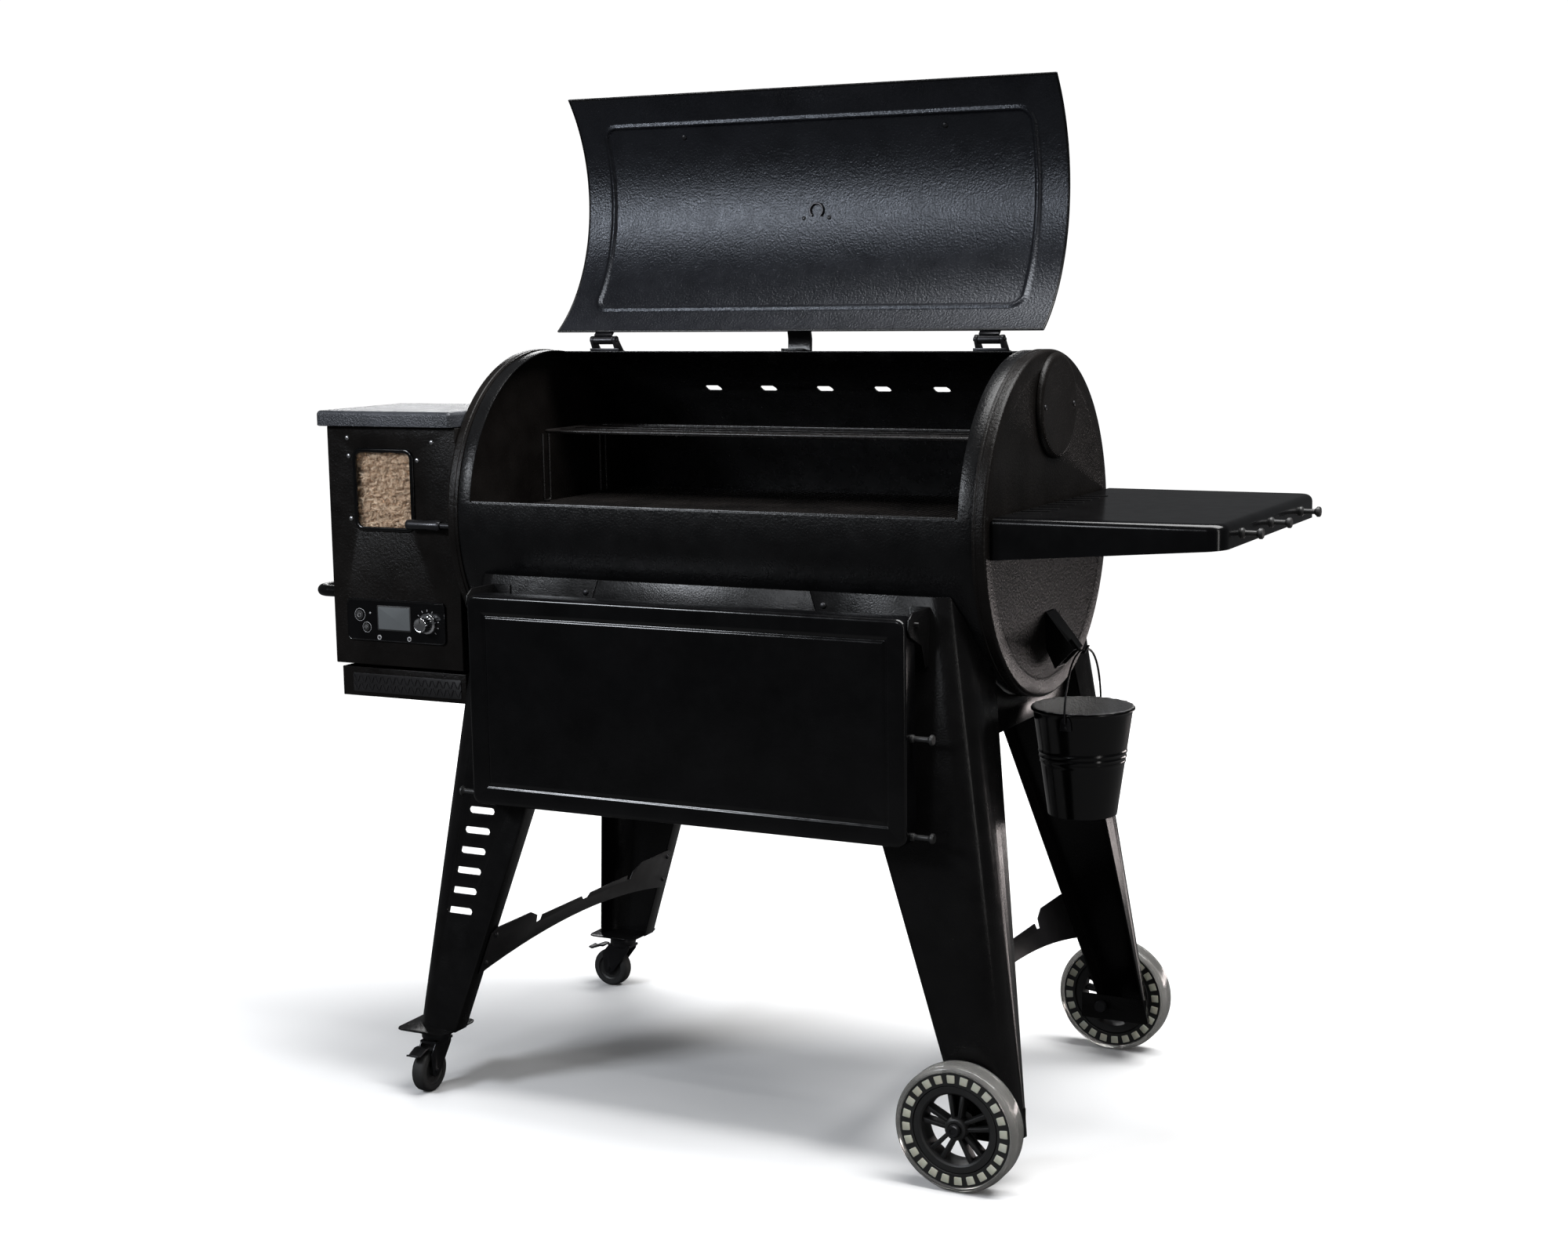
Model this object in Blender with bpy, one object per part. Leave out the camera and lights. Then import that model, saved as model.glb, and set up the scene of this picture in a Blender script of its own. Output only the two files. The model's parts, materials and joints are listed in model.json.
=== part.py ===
"""Pellet smoker grill: an open barrel on a wheeled stand, with a side hopper and two shelves.

All lengths are metres, +X to the grill's right as its user faces it, +Y to its back, +Z up.
The shapes are written about the barrel's centre on the floor; the "grill" empty then puts
the whole object's bottom centre at the world's origin.
"""
import math

import bmesh
import bpy
from mathutils import Matrix, Vector

# Whole object: where the barrel's centre lies from the bottom centre of the object's box
BARREL_X = -0.0295
BARREL_Y = 0.0

# Barrel
DRUM_Z = 1.010
DRUM_R = 0.284
SHEET = 0.003
GAP = 0.0005
SHELL_END = 0.4772
CAP_END = 0.500
CAP_R = 0.2856
OPENING_HALF = 0.453
OPENING_LOW = 6.7
OPENING_HIGH = 98.0
SLOT_Z = 1.220
SLOT_PITCH = 0.114

# Lid, described closed and then turned open about its hinge
LID_IN_R = 0.2875
LID_HALF = 0.4725
LID_LOW = 4.0
HINGE_Y = 0.048
HINGE_Z = 1.310
HINGE_X = 0.375
LID_OPEN = 137.0
HANDLE_ANGLE = 21.0
HANDLE_HALF = 0.255

# Stand
FOOT_Z = 0.12
LEG_IN_FOOT = 0.475
LEG_IN_LEAN = 0.345
LEG_OUT_FOOT = 0.570
LEG_OUT_LEAN = 0.147
LEG_FACE_TOP = 0.283
LEG_FACE_LEAN = 0.080
LEG_TOP = 0.920
LEG_BEND = 0.045
LEG_RETURN = 0.035
WHEEL_LEG_FOOT = 0.075
CASTER_LEG_FOOT = 0.1122
BRACE_T = 0.0025

# Wheels and casters
WHEEL_R = 0.1018
WHEEL_X = 0.4906
WHEEL_IN = 0.3520
WHEEL_OUT = 0.3950
TYRE_IN_R = 0.0710
AXLE_R = 0.006
CASTER_X = -0.535
CASTER_Y = 0.3235
CASTER_R = 0.038
CASTER_TRAIL = 0.026
CASTER_HALF_W = 0.0125

# Front shelf, hanging folded
SHELF_HALF = 0.404
SHELF_FRONT = -0.375
SHELF_BACK = -0.333
SHELF_LOW = 0.537
SHELF_HIGH = 0.897
SHELF_PIVOT_Y = -0.345
SHELF_PIVOT_Z = 0.885

# Side shelf
SIDE_TOP = 1.047
SIDE_FRONT = -0.266
SIDE_BACK = 0.275
SIDE_OUT = 0.870
SIDE_DROP_IN = 0.067
SIDE_DROP_OUT = 0.038
PEG_Y = (-0.172, -0.008, 0.174)
PEG_Z = 1.026

# Hopper
HOPPER_LEFT = -0.777
HOPPER_RIGHT = -0.5008
HOPPER_FRONT = -0.250
HOPPER_BACK = -0.020
HOPPER_LOW = 0.740
HOPPER_HIGH = 1.168
HOPPER_LID_TOP = 1.196
HOPPER_HINGE_Y = -0.003
HOPPER_HINGE_Z = 1.176
WINDOW = (-0.7165, 0.988, -0.597, 1.124)
BASE_LOW = 0.680
BASE_HIGH = 0.733
PANEL = (-0.747, 0.784, -0.533, 0.860)
DIAL = (-0.5715, 0.8214)
POWER = (-0.7183, 0.8306)
PRIME = (-0.7038, 0.8086)
AUGER_Y = -0.080
AUGER_Z = 0.820
AUGER_TUBE_R = 0.032

# Grease bucket
BUCKET_X = 0.560
BUCKET_Y = -0.005
BUCKET_RIM_Z = 0.711
BUCKET_RIM_R = 0.086
BUCKET_BASE_R = 0.057
BUCKET_H = 0.180
BAIL_Z = 0.8047
EAR_Z = 0.697
WIRE_R = 0.0018

# Colour, roughness and metallic value of each finish
FINISHES = {
    "powder_coat": ((0.012, 0.012, 0.013, 1), 0.45, 0.2),
    "gloss_enamel": ((0.010, 0.010, 0.011, 1), 0.22, 0.1),
    "hammered_coat": ((0.035, 0.037, 0.040, 1), 0.40, 0.4),
    "porcelain": ((0.015, 0.015, 0.016, 1), 0.35, 0.2),
    "steel": ((0.45, 0.45, 0.46, 1), 0.35, 1.0),
    "black_plastic": ((0.012, 0.012, 0.012, 1), 0.50, 0.0),
    "clear_tyre": ((0.45, 0.44, 0.42, 1), 0.20, 0.0),
    "rubber": ((0.018, 0.018, 0.018, 1), 0.80, 0.0),
    "chrome": ((0.60, 0.60, 0.62, 1), 0.15, 1.0),
    "window_glass": ((0.30, 0.20, 0.12, 1), 0.10, 0.0),
}


def clear_scene():
    for obj in list(bpy.data.objects):
        bpy.data.objects.remove(obj, do_unlink=True)


def make_material(name):
    colour, roughness, metallic = FINISHES[name]
    material = bpy.data.materials.new(name)
    material.use_nodes = True
    shader = material.node_tree.nodes["Principled BSDF"]
    shader.inputs["Base Color"].default_value = colour
    shader.inputs["Roughness"].default_value = roughness
    shader.inputs["Metallic"].default_value = metallic
    return material


def pivot(name, place, parent=None):
    """Empty on a joint's axis, at `place` in barrel coordinates."""
    empty = bpy.data.objects.new(name, None)
    bpy.context.scene.collection.objects.link(empty)
    empty["place"] = place
    if parent:
        empty.parent = parent
        empty.location = Vector(place) - Vector(parent["place"])
    return empty


def solid(name, bm, finish, parent, origin=None, smooth=True):
    """Object from a bmesh in barrel coordinates, with its origin at `origin` or on its parent."""
    origin = Vector(origin or parent["place"])
    bmesh.ops.remove_doubles(bm, verts=bm.verts, dist=1e-6)
    bmesh.ops.recalc_face_normals(bm, faces=bm.faces)
    bmesh.ops.translate(bm, verts=bm.verts, vec=-origin)
    mesh = bpy.data.meshes.new(name)
    bm.to_mesh(mesh)
    bm.free()
    obj = bpy.data.objects.new(name, mesh)
    bpy.context.scene.collection.objects.link(obj)
    obj.parent = parent
    obj.location = origin - Vector(parent["place"])
    if finish:
        mesh.materials.append(MATERIALS[finish])
    if smooth:
        mesh.shade_smooth()
        mesh.set_sharp_from_angle(angle=math.radians(35))
    return obj


def combine(target, tool, operation):
    """Boolean `tool` into `target`; the tool stays as a hidden wire guide."""
    modifier = target.modifiers.new(tool.name, "BOOLEAN")
    modifier.operation = operation
    modifier.solver = "EXACT"
    modifier.object = tool
    tool.hide_render = True
    tool.display_type = "WIRE"


def cut(target, bm, label="cut"):
    combine(target, solid(f"{target.name}_{label}", bm, None, target.parent), "DIFFERENCE")


def add(target, bm, label="add"):
    combine(target, solid(f"{target.name}_{label}", bm, None, target.parent), "UNION")


def point(axis, u, v, w):
    """Point at (u, v) across `axis` and w along it; X takes (y, z), Y takes (x, z), Z takes (x, y)."""
    return {"X": (w, u, v), "Y": (u, w, v), "Z": (u, v, w)}[axis]


def height(value, u, v):
    return value(u, v) if callable(value) else value


def loop(bm, axis, outline, w):
    return [bm.verts.new(point(axis, u, v, height(w, u, v))) for u, v in outline]


def band(bm, first, second):
    """Quads between two loops of the same length."""
    count = len(first)
    for i in range(count):
        j = (i + 1) % count
        bm.faces.new((first[i], first[j], second[j], second[i]))


def prism(axis, outline, low, high, bm=None):
    """Outline carried straight along `axis`; low and high are numbers or functions of (u, v)."""
    bm = bm or bmesh.new()
    start = loop(bm, axis, outline, low)
    stop = loop(bm, axis, outline, high)
    bm.faces.new(start[::-1])
    bm.faces.new(stop)
    band(bm, start, stop)
    return bm


def tray(axis, outer, inner, base, floor, rim):
    """Pan with its base at `base`, its inner floor at `floor` and its walls' edge at `rim`."""
    bm = bmesh.new()
    loops = [loop(bm, axis, outer, base), loop(bm, axis, outer, rim),
             loop(bm, axis, inner, rim), loop(bm, axis, inner, floor)]
    bm.faces.new(loops[0][::-1])
    bm.faces.new(loops[3])
    for first, second in zip(loops, loops[1:]):
        band(bm, first, second)
    return bm


def lathe(axis, centre, profile, segments=32, closed=False, bm=None):
    """Profile of (radius, place along the axis) turned about the axis through `centre`."""
    bm = bm or bmesh.new()
    rings = []
    for radius, w in profile:
        ring = []
        for i in range(segments):
            angle = 2 * math.pi * i / segments
            u = centre[0] + radius * math.cos(angle)
            v = centre[1] + radius * math.sin(angle)
            ring.append(bm.verts.new(point(axis, u, v, w)))
        rings.append(ring)
    pairs = list(zip(rings, rings[1:]))
    if closed:
        pairs.append((rings[-1], rings[0]))
    for first, second in pairs:
        band(bm, first, second)
    return bm


def rod(axis, centre, radius, low, high, segments=16, bm=None):
    return lathe(axis, centre, [(0, low), (radius, low), (radius, high), (0, high)], segments, bm=bm)


def arc(centre, radius, start, stop, steps):
    """Points along a circle, from start to stop degrees."""
    points = []
    for i in range(steps + 1):
        angle = math.radians(start + (stop - start) * i / steps)
        points.append((centre[0] + radius * math.cos(angle), centre[1] + radius * math.sin(angle)))
    return points


def box_outline(u0, v0, u1, v1):
    return [(u0, v0), (u1, v0), (u1, v1), (u0, v1)]


def rounded(u0, v0, u1, v1, radius, steps=3):
    """Rectangle with round corners."""
    corners = [((u1 - radius, v0 + radius), -90), ((u1 - radius, v1 - radius), 0),
               ((u0 + radius, v1 - radius), 90), ((u0 + radius, v0 + radius), 180)]
    outline = []
    for centre, start in corners:
        outline += arc(centre, radius, start, start + 90, steps)
    return outline


def block(low, high, bm=None):
    return prism("Z", box_outline(low[0], low[1], high[0], high[1]), low[2], high[2], bm)


def wrap(radius, angle):
    """Point of the barrel's section, with the angle in degrees from the front, up and over."""
    turn = math.radians(angle)
    return (-radius * math.cos(turn), DRUM_Z + radius * math.sin(turn))


def wrap_sheet(inner, outer, start, stop, steps):
    """Section of a bent sheet between two radii about the barrel's axis."""
    angles = [start + (stop - start) * i / steps for i in range(steps + 1)]
    return [wrap(outer, a) for a in angles] + [wrap(inner, a) for a in reversed(angles)]


def tube(name, points, radius, finish, parent, sides=2, closed=False):
    """Round bar along a row of points, as a curve with filled ends."""
    curve = bpy.data.curves.new(name, "CURVE")
    curve.dimensions = "3D"
    curve.bevel_depth = radius
    curve.bevel_resolution = sides
    curve.use_fill_caps = True
    spline = curve.splines.new("POLY")
    spline.points.add(len(points) - 1)
    base = Vector(parent["place"])
    for knot, place in zip(spline.points, points):
        knot.co = (*(Vector(place) - base), 1)
    spline.use_cyclic_u = closed
    curve.materials.append(MATERIALS[finish])
    obj = bpy.data.objects.new(name, curve)
    bpy.context.scene.collection.objects.link(obj)
    obj.parent = parent
    return obj


def filleted(corners, radius, steps=4):
    """Row of points through the corners, with each inner corner rounded."""
    points = [Vector(corners[0])]
    for before, corner, after in zip(corners, corners[1:], corners[2:]):
        corner = Vector(corner)
        first = corner + (Vector(before) - corner).normalized() * radius
        last = corner + (Vector(after) - corner).normalized() * radius
        for i in range(steps + 1):
            t = i / steps
            points.append(first * (1 - t) ** 2 + corner * 2 * t * (1 - t) + last * t * t)
    points.append(Vector(corners[-1]))
    return points


# Barrel


def make_drum_shell(grill):
    """Rolled sheet, open at the upper front, with five exhaust slots in its back wall."""
    profile = [(DRUM_R, -SHELL_END), (DRUM_R, SHELL_END),
               (DRUM_R - SHEET, SHELL_END), (DRUM_R - SHEET, -SHELL_END)]
    shell = solid("drum_shell", lathe("X", (0, DRUM_Z), profile, 48, closed=True),
                  "powder_coat", grill, (0, 0, DRUM_Z))
    wedge = wrap_sheet(DRUM_R - 0.02, DRUM_R + 0.02, OPENING_LOW, OPENING_HIGH, 16)
    cut(shell, prism("X", wedge, -OPENING_HALF, OPENING_HALF), "opening")
    slots = bmesh.new()
    for i in range(-2, 3):
        x = i * SLOT_PITCH
        prism("Y", rounded(x - 0.015, SLOT_Z - 0.005, x + 0.015, SLOT_Z + 0.005, 0.0045),
              0.1, 0.3, slots)
    cut(shell, slots, "slots")


def cap_mesh(side):
    """Flat disc with a turned rim that covers the barrel's end."""
    profile = [(0, CAP_END), (CAP_R - 0.003, CAP_END), (CAP_R, CAP_END - 0.003),
               (CAP_R, SHELL_END + GAP), (CAP_R - SHEET, SHELL_END + GAP),
               (CAP_R - SHEET, CAP_END - SHEET), (0, CAP_END - SHEET)]
    return lathe("X", (0, DRUM_Z), [(r, side * x) for r, x in profile], 48)


def make_end_caps(grill):
    right = solid("end_cap_right", cap_mesh(1), "powder_coat", grill, (CAP_END, 0, DRUM_Z))
    cut(right, block((0.47, -0.015, 0.820), (0.52, 0.022, 0.858)), "grease_way")
    left = solid("end_cap_left", cap_mesh(-1), "powder_coat", grill, (-CAP_END, 0, DRUM_Z))
    holes = rod("X", (AUGER_Y, AUGER_Z), AUGER_TUBE_R + 0.001, -0.52, -0.48, 24)
    rod("X", (ROD_Y, ROD_Z), 0.0065, -0.52, -0.48, 12, holes)
    cut(left, holes, "holes")


def make_vent_cover(grill):
    """Round cover plate with a raised rim and two flanges for its screws."""
    centre = (0.022, 1.203)
    profile = [(0, 0.5100), (0.078, 0.5100), (0.087, 0.5060), (0.087, CAP_END + GAP),
               (0.083, CAP_END + GAP), (0.083, 0.5040), (0.076, 0.5070), (0, 0.5070)]
    solid("vent_cover", lathe("X", centre, profile, 24), "powder_coat", grill, (CAP_END, *centre))


def make_grease_spout(grill):
    """Square chute that slopes down out of the right end, with the bucket's hook on its lip."""
    low_y, high_y = -0.019, 0.026
    outer = [(CAP_END + GAP, 0.8660), (0.5490, 0.8060), (0.5160, 0.7715), (CAP_END + GAP, 0.8045)]
    inner = [(0.4950, 0.8682), (0.5542, 0.7948), (0.5238, 0.7619), (0.4950, 0.8236)]
    spout = solid("grease_spout", prism("Y", outer, low_y, high_y), "powder_coat", grill,
                  (CAP_END, 0, 0.84), smooth=False)
    cut(spout, prism("Y", inner, low_y + 0.0025, high_y - 0.0025), "way")
    hook = [(0.5370, 0.8190), (0.5560, 0.7990), (0.5635, 0.7990), (0.5705, 0.8120),
            (0.5680, 0.8130), (0.5622, 0.8025), (0.5575, 0.8025), (0.5400, 0.8220)]
    add(spout, prism("Y", hook, BUCKET_Y - 0.004, BUCKET_Y + 0.004), "hook")


def slotted(xs, ys, low, high, is_open):
    """Plate on a grid of lines, with the cells where is_open(i, j) holds left out."""
    bm = bmesh.new()
    made = {}

    def corner(i, j, k):
        key = (i, j, k)
        if key not in made:
            made[key] = bm.verts.new((xs[i], ys[j], (low, high)[k]))
        return made[key]

    def filled(i, j):
        return 0 <= i < len(xs) - 1 and 0 <= j < len(ys) - 1 and not is_open(i, j)

    for i in range(len(xs) - 1):
        for j in range(len(ys) - 1):
            if not filled(i, j):
                continue
            around = [(i, j), (i + 1, j), (i + 1, j + 1), (i, j + 1)]
            bm.faces.new([corner(a, b, 1) for a, b in around])
            bm.faces.new([corner(a, b, 0) for a, b in reversed(around)])
            beside = [(i, j - 1), (i + 1, j), (i, j + 1), (i - 1, j)]
            for n, cell in enumerate(beside):
                if not filled(*cell):
                    a, b = around[n], around[(n + 1) % 4]
                    bm.faces.new((corner(*a, 0), corner(*b, 0), corner(*b, 1), corner(*a, 1)))
    return bm


def bars(start, stop, count, width):
    """Edges of `count` bars with equal gaps between start and stop."""
    pitch = (stop - start - width) / (count - 1)
    edges = []
    for i in range(count):
        edges += [start + i * pitch, start + i * pitch + width]
    return edges


def make_grates(grill):
    """Two grates side by side, each a plate of long slots."""
    for name, start in (("cooking_grate_left", -0.4425), ("cooking_grate_right", 0.0015)):
        xs = bars(start, start + 0.441, 10, 0.010)
        ys = bars(-0.262, 0.262, 3, 0.010)
        bm = slotted(xs, ys, 1.016, 1.026, lambda i, j: i % 2 == 1 and j % 2 == 1)
        solid(name, bm, "porcelain", grill, (start, 0, 1.016), smooth=False)


def make_upper_rack(grill):
    """Warming rack on four posts that stand on the grates' ends."""
    xs = bars(-0.440, 0.440, 12, 0.005)
    ys = bars(-0.060, 0.130, 3, 0.006)
    rack = solid("upper_rack", slotted(xs, ys, 1.148, 1.155, lambda i, j: i % 2 == 1 and j % 2 == 1),
                 "porcelain", grill, (0, 0, 1.15), smooth=False)
    posts = bmesh.new()
    for x in (-0.4375, 0.4375):
        for y in (-0.057, 0.127):
            block((x - 0.0025, y - 0.012, 1.0265), (x + 0.0025, y + 0.012, 1.150), posts)
    add(rack, posts, "posts")


def make_fire_parts(grill):
    """Fire pot, grease tray over it, and the auger's tube from the hopper."""
    pot = [(0, 0.772), (0.050, 0.772), (0.055, 0.777), (0.055, 0.870), (0.052, 0.870),
           (0.052, 0.775), (0, 0.775)]
    fire_pot = solid("fire_pot", lathe("Z", (0, AUGER_Y), pot, 24), "steel", grill, (0, AUGER_Y, 0.772))
    cut(fire_pot, rod("X", (AUGER_Y, AUGER_Z), AUGER_TUBE_R + 0.001, -0.08, -0.02, 24), "feed")
    tray_outer = box_outline(-0.440, -0.205, 0.440, 0.205)
    tray_inner = box_outline(-0.437, -0.202, 0.437, 0.202)
    pan = solid("grease_tray", tray("Z", tray_outer, tray_inner, 0.880, 0.883, 0.900),
                "steel", grill, (0, 0, 0.88), smooth=False)
    cut(pan, block((-0.090, -0.170, 0.87), (0.090, 0.010, 0.89)), "flame_hole")
    profile = [(AUGER_TUBE_R, -0.720), (AUGER_TUBE_R, -0.0440),
               (AUGER_TUBE_R - 0.0025, -0.0440), (AUGER_TUBE_R - 0.0025, -0.720)]
    feed = solid("auger_tube", lathe("X", (AUGER_Y, AUGER_Z), profile, 24, closed=True), "steel", grill,
                 (-0.5, AUGER_Y, AUGER_Z))
    cut(feed, block((-0.690, AUGER_Y - 0.020, AUGER_Z), (-0.590, AUGER_Y + 0.020, AUGER_Z + 0.05)), "mouth")


ROD_Y = -0.2645
ROD_Z = 0.998
ROD_R = 0.005


def make_broiler_slide(grill):
    """Slide plate over the flame hole, its pull rod and the grip outside the left end."""
    slide = pivot("broiler_slide_pivot", (-0.527, ROD_Y, ROD_Z), grill)
    bm = rod("X", (ROD_Y, ROD_Z), ROD_R, -0.560, -0.1400, 12)
    obj = solid("broiler_slide", bm, "steel", slide)
    arm = [(-0.2680, 1.0000), (-0.2600, 1.0020), (-0.2320, 0.9065), (0.0180, 0.9065),
           (0.0180, 0.9035), (-0.2420, 0.9035)]
    add(obj, prism("X", arm, -0.150, -0.110), "arm")
    add(obj, block((-0.115, -0.190, 0.9035), (0.115, 0.020, 0.9065)), "plate")
    grip = [(0, -0.600), (0.0085, -0.598), (0.0095, -0.590), (0.0080, -0.560), (0.0095, -0.533),
            (0.0075, -0.527), (0, -0.527)]
    add(obj, lathe("X", (ROD_Y, ROD_Z), grip, 16), "grip")


# Lid


def lid_turned(bm):
    """Turn a shape drawn on the closed lid to the open place."""
    turn = Matrix.Rotation(math.radians(-LID_OPEN), 4, "X")
    centre = Vector((0, HINGE_Y, HINGE_Z))
    move = Matrix.Translation(centre) @ turn @ Matrix.Translation(-centre)
    bmesh.ops.transform(bm, matrix=move, verts=bm.verts)
    return bm


def make_lid(lid_pivot):
    """Rolled lid with two hinge straps, standing open on its stop."""
    section = wrap_sheet(LID_IN_R, LID_IN_R + SHEET, LID_LOW, OPENING_HIGH, 16)
    lid = solid("lid", lid_turned(prism("X", section, -LID_HALF, LID_HALF)), "powder_coat", lid_pivot)
    straps = bmesh.new()
    for x in (-HINGE_X, HINGE_X):
        strap = [(-0.012, 1.2990), (0.046, 1.2990), (0.046, 1.3042), (-0.012, 1.3042)]
        prism("X", strap, x - 0.018, x + 0.018, straps)
    add(lid, lid_turned(straps), "straps")
    knuckles = bmesh.new()
    for x in (-HINGE_X, HINGE_X):
        rod("X", (HINGE_Y, HINGE_Z), 0.0075, x - 0.0195, x + 0.0195, 16, knuckles)
    add(lid, lid_turned(knuckles), "knuckles")
    bores = bmesh.new()
    for x in (-HINGE_X, HINGE_X):
        rod("X", (HINGE_Y, HINGE_Z), 0.0036, x - 0.03, x + 0.03, 16, bores)
    cut(lid, lid_turned(bores), "bores")


def make_lid_handle(lid_pivot):
    """Round bar on two stand-offs, across the outside of the lid near its front edge."""
    foot_y, foot_z = wrap(LID_IN_R + SHEET + GAP, HANDLE_ANGLE)
    bar_y, bar_z = wrap(LID_IN_R + 0.058, HANDLE_ANGLE)
    handle = solid("lid_handle", lid_turned(rod("X", (bar_y, bar_z), 0.0125, -0.315, 0.315, 20)),
                   "steel", lid_pivot)
    posts = bmesh.new()
    out = Vector((0, bar_y - foot_y, bar_z - foot_z))
    across = Vector((0, -out.z, out.y)).normalized()
    for x in (-HANDLE_HALF, HANDLE_HALF):
        rings = []
        for centre, half in (((x, foot_y, foot_z), 0.011), ((x, bar_y, bar_z), 0.008)):
            ring = []
            for i in range(12):
                turn = math.pi * i / 6
                side = Vector((1, 0, 0)) * math.cos(turn) * half + across * math.sin(turn) * half
                ring.append(posts.verts.new(Vector(centre) + side))
            rings.append(ring)
        posts.faces.new(rings[0][::-1])
        posts.faces.new(rings[1])
        band(posts, *rings)
    add(handle, lid_turned(posts), "posts")


def make_lid_hinges(grill):
    """Two hinge yokes with their pins on the barrel's top, and the stop between them."""
    for name, x in (("lid_hinge_left", -HINGE_X), ("lid_hinge_right", HINGE_X)):
        base = [(0.0470, DRUM_Z + DRUM_R - 0.0030), (0.0850, DRUM_Z + DRUM_R - 0.0115),
                (0.0850, DRUM_Z + DRUM_R - 0.0070), (0.0470, DRUM_Z + DRUM_R + 0.0015)]
        yoke = solid(name, prism("X", base, x - 0.030, x + 0.030), "steel", grill,
                     (x, HINGE_Y, HINGE_Z), smooth=False)
        ear = [(0.0480, DRUM_Z + DRUM_R), (0.0750, DRUM_Z + DRUM_R - 0.0060)]
        ear += arc((HINGE_Y, HINGE_Z), 0.0080, 0, 180, 8)
        ears = prism("X", ear, x - 0.0260, x - 0.0205)
        prism("X", ear, x + 0.0205, x + 0.0260, ears)
        add(yoke, ears, "ears")
        add(yoke, rod("X", (HINGE_Y, HINGE_Z), 0.0032, x - 0.0290, x + 0.0290, 12), "pin")
    stop = [(0.0600, 1.2885), (0.0940, 1.2810), (0.0960, 1.3100), (0.0860, 1.3520), (0.0800, 1.3500),
            (0.0880, 1.3100), (0.0870, 1.2900), (0.0600, 1.2950)]
    solid("lid_stop", prism("X", stop, -0.022, 0.022), "powder_coat", grill, (0, 0.08, 1.29),
          smooth=False)


# Stand


def leg_in(z):
    return LEG_IN_FOOT - LEG_IN_LEAN * (z - FOOT_Z)


def leg_out(z):
    return LEG_OUT_FOOT - LEG_OUT_LEAN * (z - FOOT_Z)


def leg_face(z):
    return LEG_FACE_TOP + LEG_FACE_LEAN * (LEG_TOP - z)


def leg_section(z):
    """Bent sheet at height z: a narrow inner return, a broad face, a round bend, a side flange."""
    near, far, face = leg_in(z), leg_out(z), leg_face(z)
    depth = 0.050 + 0.085 * (z - 0.1) / (LEG_TOP - 0.1)
    bend = (far - LEG_BEND, face - LEG_BEND)
    outer = [(near, face - LEG_RETURN), (near, face)]
    outer += [(y, x) for x, y in arc((bend[1], bend[0]), LEG_BEND, 0, 90, 4)]
    outer += [(far, face - depth)]
    inner = [(near + SHEET, face - LEG_RETURN), (near + SHEET, face - SHEET)]
    inner += [(y, x) for x, y in arc((bend[1], bend[0]), LEG_BEND - SHEET, 0, 90, 4)]
    inner += [(far - SHEET, face - depth)]
    return outer + inner[::-1]


def leg_mesh(side, end, foot):
    bm = bmesh.new()
    loops = []
    for z in (foot, LEG_TOP):
        loops.append([bm.verts.new((side * x, end * y, z)) for x, y in leg_section(z)])
    bm.faces.new(loops[0][::-1])
    bm.faces.new(loops[1])
    band(bm, *loops)
    return bm


def make_legs(grill):
    """Four folded sheet legs, cut to the barrel; foot plates on the left, axle plates on the right."""
    for side, side_name in ((-1, "left"), (1, "right")):
        for end, end_name in ((-1, "front"), (1, "rear")):
            foot = WHEEL_LEG_FOOT if side > 0 else CASTER_LEG_FOOT
            leg = solid(f"leg_{end_name}_{side_name}", leg_mesh(side, end, foot), "powder_coat",
                        grill, (side * 0.5, end * 0.3, foot))
            cut(leg, rod("X", (0, DRUM_Z), CAP_R + 0.0014, -0.6, 0.6, 48), "saddle")
            if side > 0:
                plate = sorted((end * 0.3005, end * 0.3035))
                add(leg, block((0.452, plate[0], WHEEL_LEG_FOOT), (0.5735, plate[1], 0.120)), "axle_plate")
                reach = sorted((end * 0.29, end * 0.36))
                cut(leg, rod("Y", (WHEEL_X, WHEEL_R), AXLE_R + 0.0004, *reach, 16), "axle_hole")
            else:
                low, high = (-0.587, end * 0.3235 - 0.050), (-0.483, end * 0.3235 + 0.050)
                add(leg, prism("Z", rounded(*low, *high, 0.012, 2), 0.1110, 0.1140), "foot_plate")
    slots = bmesh.new()
    for i in range(6):
        z = 0.510 - 0.036 * i
        x = -(leg_in(z) + leg_out(z)) / 2
        prism("Y", rounded(x - 0.026, z - 0.006, x + 0.026, z + 0.006, 0.0055, 2), -0.36, -0.29, slots)
    cut(bpy.data.objects["leg_front_left"], slots, "slots")


def make_cross_panels(grill):
    """Front and rear aprons between the legs, and the side panels under the barrel's ends."""
    low = 0.790
    reach_low, reach_high = leg_in(low) - 0.001, leg_in(LEG_TOP) - 0.001
    outline = [(-reach_low, low), (reach_low, low), (reach_high, LEG_TOP), (-reach_high, LEG_TOP)]
    for name, end in (("apron_front", -1), ("apron_rear", 1)):
        panel = prism("Y", outline, lambda x, z: end * leg_face(z),
                      lambda x, z: end * (leg_face(z) - SHEET))
        solid(name, panel, "powder_coat", grill, (0, end * 0.285, low), smooth=False)
    for name, side in (("side_panel_left", -1), ("side_panel_right", 1)):
        start = 270 - math.degrees(math.asin(0.185 / (CAP_R + 0.0014)))
        outline = arc((0, DRUM_Z), CAP_R + 0.0014, start, 540 - start, 10)
        outline += [(0.185, 0.682), (-0.185, 0.682)]
        bm = prism("X", outline, side * 0.462, side * 0.465)
        panel = solid(name, bm, "powder_coat", grill, (side * 0.46, 0, 0.682), smooth=False)
        flange = sorted((side * 0.442, side * 0.4635))
        add(panel, block((flange[0], -0.185, 0.682), (flange[1], 0.185, 0.685)), "flange")


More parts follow.
